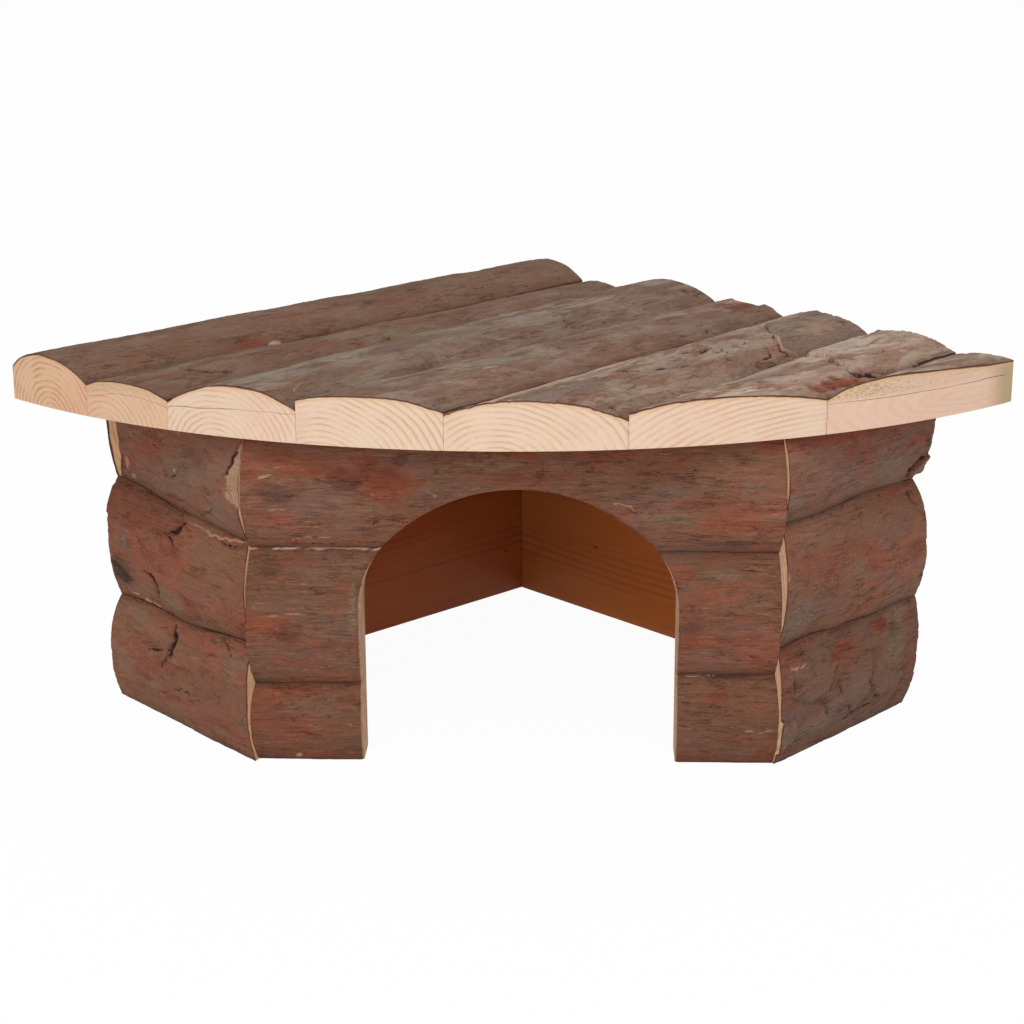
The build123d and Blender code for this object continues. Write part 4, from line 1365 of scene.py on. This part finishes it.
# Knots in the wood inside the room: the slab, the place along and across it, and the radius, in millimetres.
KNOTS = (
    ("back_left_low_slab", 5.5, 11.0, 0.4),
    ("back_left_mid_slab", 62.0, 39.0, 1.0),
    ("back_right_low_slab", 84.0, 17.0, 0.5),
    ("back_right_top_slab", 30.0, 60.0, 1.8),
    ("left_side_mid_slab", 20.0, 36.0, 1.4),
    ("right_side_low_slab", 26.0, 14.0, 1.2),
    ("front_top_slab", 24.0, 60.0, 1.5),
    ("roof_slab_3", 84.0, 58.0, 2.2),
    ("roof_slab_5", 40.0, 108.0, 1.8),
    ("roof_slab_6", 70.0, 124.0, 1.5),
)
ROOM_PAINTED_LIGHT_RUN = 48.0 * MM   # how far from the room's middle the painted light on its wood grows


def room_material(scene, name):
    """The sawn faces inside the room: warm planed wood with long grain that flows round a few knots.

    Its deep orange is partly painted shade, a darker copy of the pale sawn wood. It is also painted darker
    near the room's middle, where the back corner lies, and lighter towards the sides.
    """
    wood = scene.house_wood
    paint = Paint(name)
    swirl = paint.texture((11, 42, 42), 3.3, detail=2, roughness=0.5)
    fibres = paint.texture((160, 3600, 3600), 5.1, detail=3, roughness=0.6)
    broad = paint.texture((9, 190, 190), 8.8, detail=3)
    slabs = {slab.name: slab for slab in (*roof_slabs(scene), *wall_slabs(scene))}
    near = None
    for slab_name, along, across, radius in KNOTS:
        slab = slabs[slab_name]
        heart = slab.grain(slab.world(along * MM, across * MM, 0.0))
        away = paint.vector("MULTIPLY", paint.vector("SUBTRACT", paint.place, tuple(heart)), (0.45, 1.0, 1.0))
        away = paint.vector("LENGTH", away) / (radius * MM)
        near = away if near is None else paint.math("MINIMUM", near, away)
    bend = paint.math("DIVIDE", 1.0, near + 1.0)
    level = paint.value("ShaderNodeSeparateXYZ", {0: paint.place}, 1)
    phase = paint.math("FRACT", level / (wood.ring * 1.7) + swirl * 2.6 + bend * 0.8)
    late = paint.span(phase, 0.25, 0.86) * paint.span(phase, 0.88, 1.0, 1.0, 0.0)
    late = late * paint.span(broad, 0.46, 0.66, 0.12, 1.0)
    paint.colour = paint.mix(paint.span(swirl, 0.35, 0.65), wood.room, wood.room_deep)
    paint.cover(late * 0.45, wood.room_line)
    # A darker, browner tinge on the inside faces of the slabs whose warm value is high.
    paint.cover(paint.span(paint.attribute("warm"), 0.6, 1.0), wood.room_dimming, "MULTIPLY")
    # Painted shade and light: darker near the room's middle, where its back corner lies, and lighter towards
    # its sides.
    aside = paint.math("ABSOLUTE", paint.value("ShaderNodeSeparateXYZ", {0: paint.object_place()}))
    paint.shade(paint.ramp(fibres, 0.25, 0.75, 0.92, 1.07) * paint.span(aside, 0.0, ROOM_PAINTED_LIGHT_RUN, 0.78, 1.28))
    paint.cover(paint.span(near, 0.5, 1.0, 1.0, 0.0) * 0.85, wood.knot)
    bump = paint.bump(fibres * 0.5 + late * -0.3, 0.12 * MM, 0.5)
    return paint.finish(paint.span(swirl, 0.3, 0.7, 0.5, 0.62), bump, 0.3)


def nail_material(scene, name):
    """Bright steel with fine scratches and dull spots."""
    paint = Paint(name, grained=False)
    scratches = paint.texture((4000, 4000, 900), detail=3)
    spots = paint.texture((1400, 1400, 1400), 2.0, detail=4, roughness=0.7)
    paint.colour = paint.mix(paint.span(spots, 0.5, 0.7), STEEL, DULL_STEEL)
    paint.shader.inputs["Metallic"].default_value = 1.0
    bump = paint.bump(scratches, 0.03 * MM, 0.5)
    return paint.finish(paint.span(scratches, 0.3, 0.7, 0.26, 0.46), bump, 0.5)


def all_materials(scene):
    """The house's materials by name, made once."""
    bark = scene.house_bark
    wood = scene.house_wood
    makers = {
        "roof_bark": (bark_material, bark.roof_brown, bark.roof_red, bark.roof_grey),
        "wall_bark": (bark_material, bark.wall_brown, bark.wall_red, bark.wall_grey),
        "sawn_wood": (sawn_material, wood.pale, wood.ring_line, True),
        "stick_wood": (sawn_material, STICK_PALE, STICK_LINE, False),
        "room_wood": (room_material,),
        "nail_steel": (nail_material,),
    }
    return {name: bpy.data.materials.get(name) or maker(scene, name, *given)
            for name, (maker, *given) in makers.items()}


# ---- Geometry Nodes ----
def start_tree(name, **sockets):
    """A Geometry Nodes tree with a geometry input and the given ones, and what those inputs give."""
    tree = bpy.data.node_groups.new(name, "GeometryNodeTree")
    tree.is_modifier = True
    for label, kind in {"Geometry": "Geometry", **sockets}.items():
        tree.interface.new_socket(label, in_out="INPUT", socket_type=f"NodeSocket{kind}")
    tree.interface.new_socket("Geometry", in_out="OUTPUT", socket_type="NodeSocketGeometry")
    build = Tree(tree)
    return build, {socket.name: Value(build, socket) for socket in build.add("NodeGroupInput").outputs}


def end_tree(build, geometry, material, **selection):
    """Make instances real, paint what is selected, and send it all out of the tree."""
    solid = build.value("GeometryNodeRealizeInstances", {"Geometry": geometry})
    painted = build.value("GeometryNodeSetMaterial", {"Geometry": solid, "Material": material, **selection})
    build.add("NodeGroupOutput", {"Geometry": painted})
    return build.tree


def named(build, name, kind="FLOAT"):
    return build.value("GeometryNodeInputNamedAttribute", {"Name": name}, data_type=kind)


def bark_relief_tree(name):
    """Raises the bark: gentle swellings, scales with stepped edges, and fine ridges along the grain."""
    build, given = start_tree(name, Undulation="Float", Fibre="Float", Plates="Float", Roughness="Float",
                              Out="Vector", Seed="Float", Bark="Material")
    seed = build.thrice(given["Seed"])
    grain = named(build, "grain", "FLOAT_VECTOR")

    def place(scales):
        return build.vector("ADD", build.vector("MULTIPLY", grain, scales), seed)

    swell = (build.noise(place((28, 60, 60)), detail=2) - 0.5) * (given["Undulation"] * 2.6)
    warp = build.noise(place((150, 260, 260)), detail=3, output="Color")
    warp = build.vector("SCALE", build.vector("SUBTRACT", warp, (0.5, 0.5, 0.5)), 1.5)
    cells = {"Vector": build.vector("ADD", place((75, 170, 170)), warp), "Scale": 1.0}
    step = build.value("ShaderNodeTexVoronoi", cells, "Color", feature="F1")
    step = build.vector("DOT_PRODUCT", step, (0.34, 0.33, 0.33)) - 0.5
    groove = build.value("ShaderNodeTexVoronoi", cells, "Distance", feature="DISTANCE_TO_EDGE")
    groove = build.span(groove, 0.0, 0.09, -0.8, 0.0)
    plates = (step + groove * given["Roughness"]) * given["Plates"]
    ridges = build.noise(place((230, 1500, 1500)), detail=3, roughness=0.6, distortion=0.25) - 0.5
    knobs = build.noise(place((420, 620, 620)), detail=3, roughness=0.6) - 0.5
    relief = plates + (ridges + knobs) * (given["Fibre"] * 2.2)

    offset = build.vector("SCALE", given["Out"], (swell + relief) * named(build, "bark"))
    moved = build.value("GeometryNodeSetPosition", {"Geometry": given["Geometry"], "Offset": offset})
    # The relief is kept, in millimetres, for the bark's colour to paint shade in its hollows and light on its
    # ridges.
    stored = build.value("GeometryNodeStoreNamedAttribute",
                         {"Geometry": moved, "Name": "relief", "Value": relief / MM},
                         data_type="FLOAT", domain="POINT")
    index = build.value("GeometryNodeInputMaterialIndex")
    barked = build.value("FunctionNodeCompare", {2: index, 3: BARK_SLOT}, data_type="INT", operation="EQUAL")
    return end_tree(build, stored, given["Bark"], Selection=barked)


def nail_tree(name):
    """Puts a nail at every point, driven the way that the point says."""
    build, given = start_tree(name, Nail="Object", Steel="Material")
    way = named(build, "way", "FLOAT_VECTOR")
    stretch = build.value("ShaderNodeCombineXYZ", {0: 1.0, 1: 1.0, 2: named(build, "long")})
    turn = build.value("FunctionNodeAlignRotationToVector", {"Vector": way}, axis="Z")
    model = build.value("GeometryNodeObjectInfo", {"Object": given["Nail"]}, "Geometry")
    placed = build.value("GeometryNodeInstanceOnPoints", {"Points": given["Geometry"], "Instance": model,
                                                          "Rotation": turn, "Scale": stretch})
    return end_tree(build, placed, given["Steel"])


def add_nodes(thing, name, maker, **values):
    """Give an object the named Geometry Nodes tree, made once, as a modifier with its inputs set."""
    tree = bpy.data.node_groups.get(name) or maker(name)
    modifier = thing.modifiers.new(name, "NODES")
    modifier.node_group = tree
    sockets = {item.name: item.identifier for item in tree.interface.items_tree if item.in_out == "INPUT"}
    for label, value in values.items():
        modifier[sockets[label]] = value


# ---- Pieces ----
SLAB_SHARP, STICK_SHARP, NAIL_SHARP = 48, 35, 40    # edges sharper than this many degrees stay crisp


def finish_piece(thing, body, node):
    """Let the body carry the piece, and hide the CAD node that it stands for."""
    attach(thing, body)
    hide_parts(node)


def build_slab(scene, slab, body, bark):
    """One slab from its lattice to its finished mesh."""
    materials = all_materials(scene)
    settings = scene.house_bark
    thing = slab_object(scene, slab, [materials[name] for name in (bark, "sawn_wood", "room_wood")])
    add_nodes(thing, "Bark Relief", bark_relief_tree, Undulation=settings.undulation, Fibre=settings.fibre,
              Plates=settings.plates, Roughness=look_of(slab.name).scaly, Out=tuple(slab.out),
              Seed=float(settings.seed + slab.number), Bark=materials[bark])
    bake(thing)
    soften(thing.data, SLAB_SHARP)
    finish_piece(thing, body, slab.name)


def build_walls(scene, slot, *walls):
    """The three courses of each of the given walls."""
    for slab in wall_slabs(scene, *walls):
        build_slab(scene, slab, "house", "wall_bark")


# ---- Sticks and nails ----
STICK_BEVEL = 0.35 * MM
BEVEL_SEGMENTS = 3
STICK_HEART = (3.0 * MM, 9.0 * MM)  # of its log, beside and beyond the stick's middle
FLAT_ANGLE, BEVEL_ANGLE = 2, 30     # in degrees: edges to take away, and edges to soften
SAME_POINT = 0.001 * MM             # points nearer than this are one
NAIL_SIDES = 16
# Half of a nail's outline from its point to its head: distance from the axis as a share of the shank's or the
# head's radius, and height, as a share of the nail's length in the shank and in millimetres in the head.
NAIL_SHANK = ((0.0, 1.0), (0.55, 0.93), (1.0, 0.84), (1.0, 0.0))
NAIL_HEAD = ((0.93, 0.0), (1.0, -0.12), (1.0, -0.5), (0.93, -0.62), (0.6, -0.69), (0.0, -0.7))
NAIL_HEAD_HEIGHT = 0.7 * MM
NAIL_RADIUS = 0.7 * MM
NAIL_HEAD_RADIUS = 1.5 * MM
NAIL_LENGTH = 10.0 * MM             # of the nail that the others are stretched from
NAIL_RIM_SHARE = 0.9                # points farther out than this share of the head's radius are its rim
HEAD_SEARCH = 0.05 * MM             # depth below a nail's top in which its points are the head's


def joined_solids(thing):
    """The points of each separate solid in a CAD node, as arrays."""
    mesh = thing.data
    points = np.array([v.co for v in mesh.vertices])
    _, same = np.unique(np.round(points / SAME_POINT).astype(int), axis=0, return_inverse=True)
    same = same.ravel()
    parent = list(range(same.max() + 1))

    def root(item):
        while parent[item] != item:
            parent[item] = parent[parent[item]]
            item = parent[item]
        return item

    for edge in mesh.edges:
        parent[root(same[edge.vertices[0]])] = root(same[edge.vertices[1]])
    groups = {}
    for index, item in enumerate(same):
        groups.setdefault(root(item), []).append(index)
    return [points[members] for members in groups.values()]


def closed_copy(node, name):
    """A closed copy of a CAD node's mesh, with its doubled points merged and its flat faces made whole."""
    work = bmesh.new()
    work.from_mesh(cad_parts[node].data)
    bmesh.ops.remove_doubles(work, verts=work.verts, dist=2 * SAME_POINT)
    bmesh.ops.dissolve_limit(work, angle_limit=math.radians(FLAT_ANGLE), verts=work.verts, edges=work.edges)
    bmesh.ops.recalc_face_normals(work, faces=work.faces)
    mesh = bpy.data.meshes.new(name)
    work.to_mesh(mesh)
    work.free()
    return mesh


def stick_object(node, material):
    """A sawn stick: the CAD node's flat-sided solid with softened edges."""
    name = node + "_wood"
    thing = new_object(name, closed_copy(node, name))
    bevel = thing.modifiers.new("Softened edges", "BEVEL")
    bevel.width = STICK_BEVEL
    bevel.segments = BEVEL_SEGMENTS
    bevel.limit_method = "ANGLE"
    bevel.angle_limit = math.radians(BEVEL_ANGLE)
    bake(thing)
    thing.data.materials.clear()
    thing.data.materials.append(material)
    return thing


def build_sticks(scene, nodes, body, run):
    """Sawn sticks with their grain along the given direction."""
    material = all_materials(scene)["stick_wood"]
    side = -ROOF_GRAIN
    third = np.cross(run, side)
    for number, node in enumerate(nodes):
        thing = stick_object(node, material)
        points = np.array([v.co for v in thing.data.vertices])
        local = points - (points.max(0) + points.min(0)) / 2
        grain = np.stack((local @ run + (FIRST_STICK_NUMBER + number) * GRAIN_STEP,
                          local @ side - STICK_HEART[0], local @ third - STICK_HEART[1]), axis=-1)
        add_attribute(thing.data, "grain", grain)
        soften(thing.data, STICK_SHARP)
        finish_piece(thing, body, node)


def nail_model():
    """One nail that starts at the origin and is driven along Z."""
    profile = [(share * NAIL_RADIUS, height * NAIL_LENGTH) for share, height in NAIL_SHANK]
    profile += [(share * NAIL_HEAD_RADIUS, height * MM) for share, height in NAIL_HEAD]
    points, faces, rings = [], [], []
    for radius, height in profile:
        count = 1 if radius == 0 else NAIL_SIDES
        rings.append(range(len(points), len(points) + count))
        for side in range(count):
            angle = math.tau * side / NAIL_SIDES
            points.append((radius * math.cos(angle), radius * math.sin(angle), height))
    for lower, upper in zip(rings, rings[1:]):
        for side in range(NAIL_SIDES):
            after = (side + 1) % NAIL_SIDES
            face = [lower[side % len(lower)], lower[after % len(lower)], upper[after % len(upper)],
                    upper[side % len(upper)]]
            faces.append(list(dict.fromkeys(face)))
    mesh = bpy.data.meshes.new("nail_model")
    mesh.from_pydata(points, [], faces)
    return mesh


def nail_places(node):
    """Where each nail of a CAD node has its head's seat, which way it is driven, and how long it is."""
    places = []
    for points in joined_solids(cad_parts[node]):
        middle = points.mean(0)
        way = np.linalg.svd(points - middle, full_matrices=False)[2][0]
        along = (points - middle) @ way
        across = np.linalg.norm(points - middle - np.outer(along, way), axis=1)
        if along[across > across.max() * NAIL_RIM_SHARE].mean() > 0:
            way, along = -way, -along
        head = points[along < along.min() + HEAD_SEARCH]
        seat = (head.max(0) + head.min(0)) / 2 + way * NAIL_HEAD_HEIGHT
        places.append((seat, way, along.max() - along.min() - NAIL_HEAD_HEIGHT))
    return places


def build_nails(scene, node, body):
    """All the nails of a CAD node, as copies of one nail."""
    seats, ways, lengths = zip(*nail_places(node))
    model = new_object(node + "_model", nail_model())
    mesh = bpy.data.meshes.new(node + "_points")
    mesh.from_pydata([tuple(seat) for seat in seats], [], [])
    add_attribute(mesh, "way", ways)
    add_attribute(mesh, "long", [length / NAIL_LENGTH for length in lengths])
    thing = new_object(node + "_steel", mesh)
    add_nodes(thing, "Driven Nails", nail_tree, Nail=model, Steel=all_materials(scene)["nail_steel"])
    bake(thing)
    soften(thing.data, NAIL_SHARP)
    bpy.data.objects.remove(model)
    finish_piece(thing, body, node)


# ---- Stage ----
LAMP_TARGET = Vector((0.0, 0.0, 0.03))
KEY_LAMP = ((0.05, -0.95, 1.7), 1.3)    # place and width
FILL_LAMP = ((-0.2, -1.8, 0.6), 1.2)
SENSOR_WIDTH = 36.0                     # in millimetres, as the focal length
CLIP_START = 0.01
WHITE = (1.0, 1.0, 1.0, 1.0)


def floor_material(scene):
    """A white floor that keeps a soft shadow."""
    paint = Paint("floor_white", grained=False)
    paint.tree.nodes.remove(paint.shader)
    rays = paint.add("ShaderNodeLightPath").outputs
    mirrored = paint.math("MAXIMUM", rays["Is Glossy Ray"], rays["Is Transmission Ray"])
    share = paint.math("MAXIMUM", rays["Is Camera Ray"], mirrored) * scene.house_stage.white
    tone = paint.mix(paint.texture((900, 900, 900)), *FLOOR_TONES)
    matt = paint.value("ShaderNodeBsdfDiffuse", {"Color": tone})
    white = paint.value("ShaderNodeEmission", {"Strength": 1.0})
    both = paint.value("ShaderNodeMixShader", {0: share, 1: matt, 2: white})
    paint.feed(paint.tree.nodes["Material Output"].inputs["Surface"], both)
    return paint.material


def add_floor(scene):
    """A wide floor just below the house."""
    mesh = bpy.data.meshes.new("floor")
    corners = ((-1, -1), (1, -1), (1, 1), (-1, 1))
    mesh.from_pydata([(x * STAGE_HALF, y * STAGE_HALF, -FLOOR_DROP) for x, y in corners], [], [range(4)])
    mesh.materials.append(floor_material(scene))
    new_object("floor", mesh)


def toward(place, target):
    """The turn that points a lamp or a camera at a target."""
    return (Vector(target) - Vector(place)).to_track_quat("-Z", "Y")


def add_lamp(name, place, size, power):
    """A large square lamp that points at the house."""
    lamp = bpy.data.lights.new(name, "AREA")
    lamp.shape = "SQUARE"
    lamp.size = size
    lamp.energy = power
    thing = new_object(name, lamp)
    thing.location = place
    thing.rotation_euler = toward(place, LAMP_TARGET).to_euler()


def add_sky(scene):
    """Even light from all round, in front of a white background."""
    scene.world = bpy.data.worlds.new("studio")
    scene.world.use_nodes = True
    scene.world.node_tree.nodes.clear()
    build = Tree(scene.world.node_tree)
    seen = build.value("ShaderNodeLightPath", output="Is Camera Ray")
    strength = build.ramp(seen, 0.0, 1.0, scene.house_stage.ambient, 1.0)
    sky = build.value("ShaderNodeBackground", {"Color": WHITE, "Strength": strength})
    build.add("ShaderNodeOutputWorld", {"Surface": sky})


def add_camera(scene):
    """The camera in front of the doorway, a little above the roof."""
    stage = scene.house_stage
    camera = new_object("camera", bpy.data.cameras.new("camera"))
    camera.data.lens = stage.lens
    camera.data.sensor_width = SENSOR_WIDTH
    camera.data.clip_start = CLIP_START
    turn = toward(stage.camera, stage.target).to_matrix() @ Matrix.Rotation(stage.tilt, 3, "Z")
    camera.matrix_world = Matrix.Translation(Vector(stage.camera)) @ turn.to_4x4()
    scene.camera = camera


# ---- Operators ----
class HOUSE_OT_roof_slabs(bpy.types.Operator):
    """Build the seven half-round slabs of the roof"""
    bl_idname = "house.roof_slabs"
    bl_label = "Roof slabs"

    def execute(self, context):
        for slab in roof_slabs(context.scene):
            build_slab(context.scene, slab, "roof", "roof_bark")
        return {"FINISHED"}


class HOUSE_OT_front_wall(bpy.types.Operator):
    """Build the front wall with its arched doorway"""
    bl_idname = "house.front_wall"
    bl_label = "Front wall"

    def execute(self, context):
        build_walls(context.scene, "front_slab", "front")
        return {"FINISHED"}


class HOUSE_OT_side_walls(bpy.types.Operator):
    """Build the two short side walls"""
    bl_idname = "house.side_walls"
    bl_label = "Side walls"

    def execute(self, context):
        build_walls(context.scene, "side_slab", "left_side", "right_side")
        return {"FINISHED"}


class HOUSE_OT_back_walls(bpy.types.Operator):
    """Build the two long walls that fit into a corner"""
    bl_idname = "house.back_walls"
    bl_label = "Back walls"

    def execute(self, context):
        build_walls(context.scene, "back_slab", "back_left", "back_right")
        return {"FINISHED"}


class HOUSE_OT_battens(bpy.types.Operator):
    """Build the two battens that hold the roof slabs together"""
    bl_idname = "house.battens"
    bl_label = "Battens"

    def execute(self, context):
        nodes = ("roof_batten_back", "roof_batten_front")
        build_sticks(context.scene, nodes, "roof", ROOF_ACROSS)
        return {"FINISHED"}


class HOUSE_OT_corner_posts(bpy.types.Operator):
    """Build the posts inside the corners of the room"""
    bl_idname = "house.corner_posts"
    bl_label = "Corner posts"

    def execute(self, context):
        nodes = [f"corner_post_{place}" for place in ("far_left", "front_left", "front_right", "far_right")]
        build_sticks(context.scene, nodes, "house", UP)
        return {"FINISHED"}


class HOUSE_OT_nails(bpy.types.Operator):
    """Drive the nails of the roof, the posts and the back corner"""
    bl_idname = "house.nails"
    bl_label = "Nails"

    def execute(self, context):
        build_nails(context.scene, "roof_nails", "roof")
        build_nails(context.scene, "corner_post_nails", "house")
        build_nails(context.scene, "back_corner_nails", "house")
        return {"FINISHED"}


class HOUSE_OT_stage(bpy.types.Operator):
    """Set up the floor, the light and the camera"""
    bl_idname = "house.stage"
    bl_label = "Stage"

    def execute(self, context):
        scene = context.scene
        add_floor(scene)
        add_lamp("key_lamp", *KEY_LAMP, scene.house_stage.key)
        add_lamp("fill_lamp", *FILL_LAMP, scene.house_stage.fill)
        add_sky(scene)
        add_camera(scene)
        scene.view_settings.view_transform = "Standard"
        return {"FINISHED"}


OPERATORS = (HOUSE_OT_roof_slabs, HOUSE_OT_front_wall, HOUSE_OT_side_walls, HOUSE_OT_back_walls,
             HOUSE_OT_battens, HOUSE_OT_corner_posts, HOUSE_OT_nails, HOUSE_OT_stage)


class HOUSE_PT_panel(bpy.types.Panel):
    """The house's settings and build steps"""
    bl_label = "Bark corner house"
    bl_idname = "HOUSE_PT_panel"
    bl_space_type = "VIEW_3D"
    bl_region_type = "UI"
    bl_category = "Bark House"

    def draw(self, context):
        for key, group in SETTINGS.items():
            box = self.layout.box()
            box.label(text=group.__doc__)
            for name in group.__annotations__:
                box.prop(getattr(context.scene, key), name)
        for operator in OPERATORS:
            self.layout.operator(operator.bl_idname)


def register():
    for key, group in SETTINGS.items():
        bpy.utils.register_class(group)
        setattr(bpy.types.Scene, key, PointerProperty(type=group))
    for cls in (*OPERATORS, HOUSE_PT_panel):
        bpy.utils.register_class(cls)


def unregister():
    for cls in (HOUSE_PT_panel, *reversed(OPERATORS)):
        bpy.utils.unregister_class(cls)
    for key, group in reversed(SETTINGS.items()):
        delattr(bpy.types.Scene, key)
        bpy.utils.unregister_class(group)


def main():
    register()
    for operator in OPERATORS:
        group, name = operator.bl_idname.split(".")
        getattr(getattr(bpy.ops, group), name)()


if __name__ == "__main__":
    main()
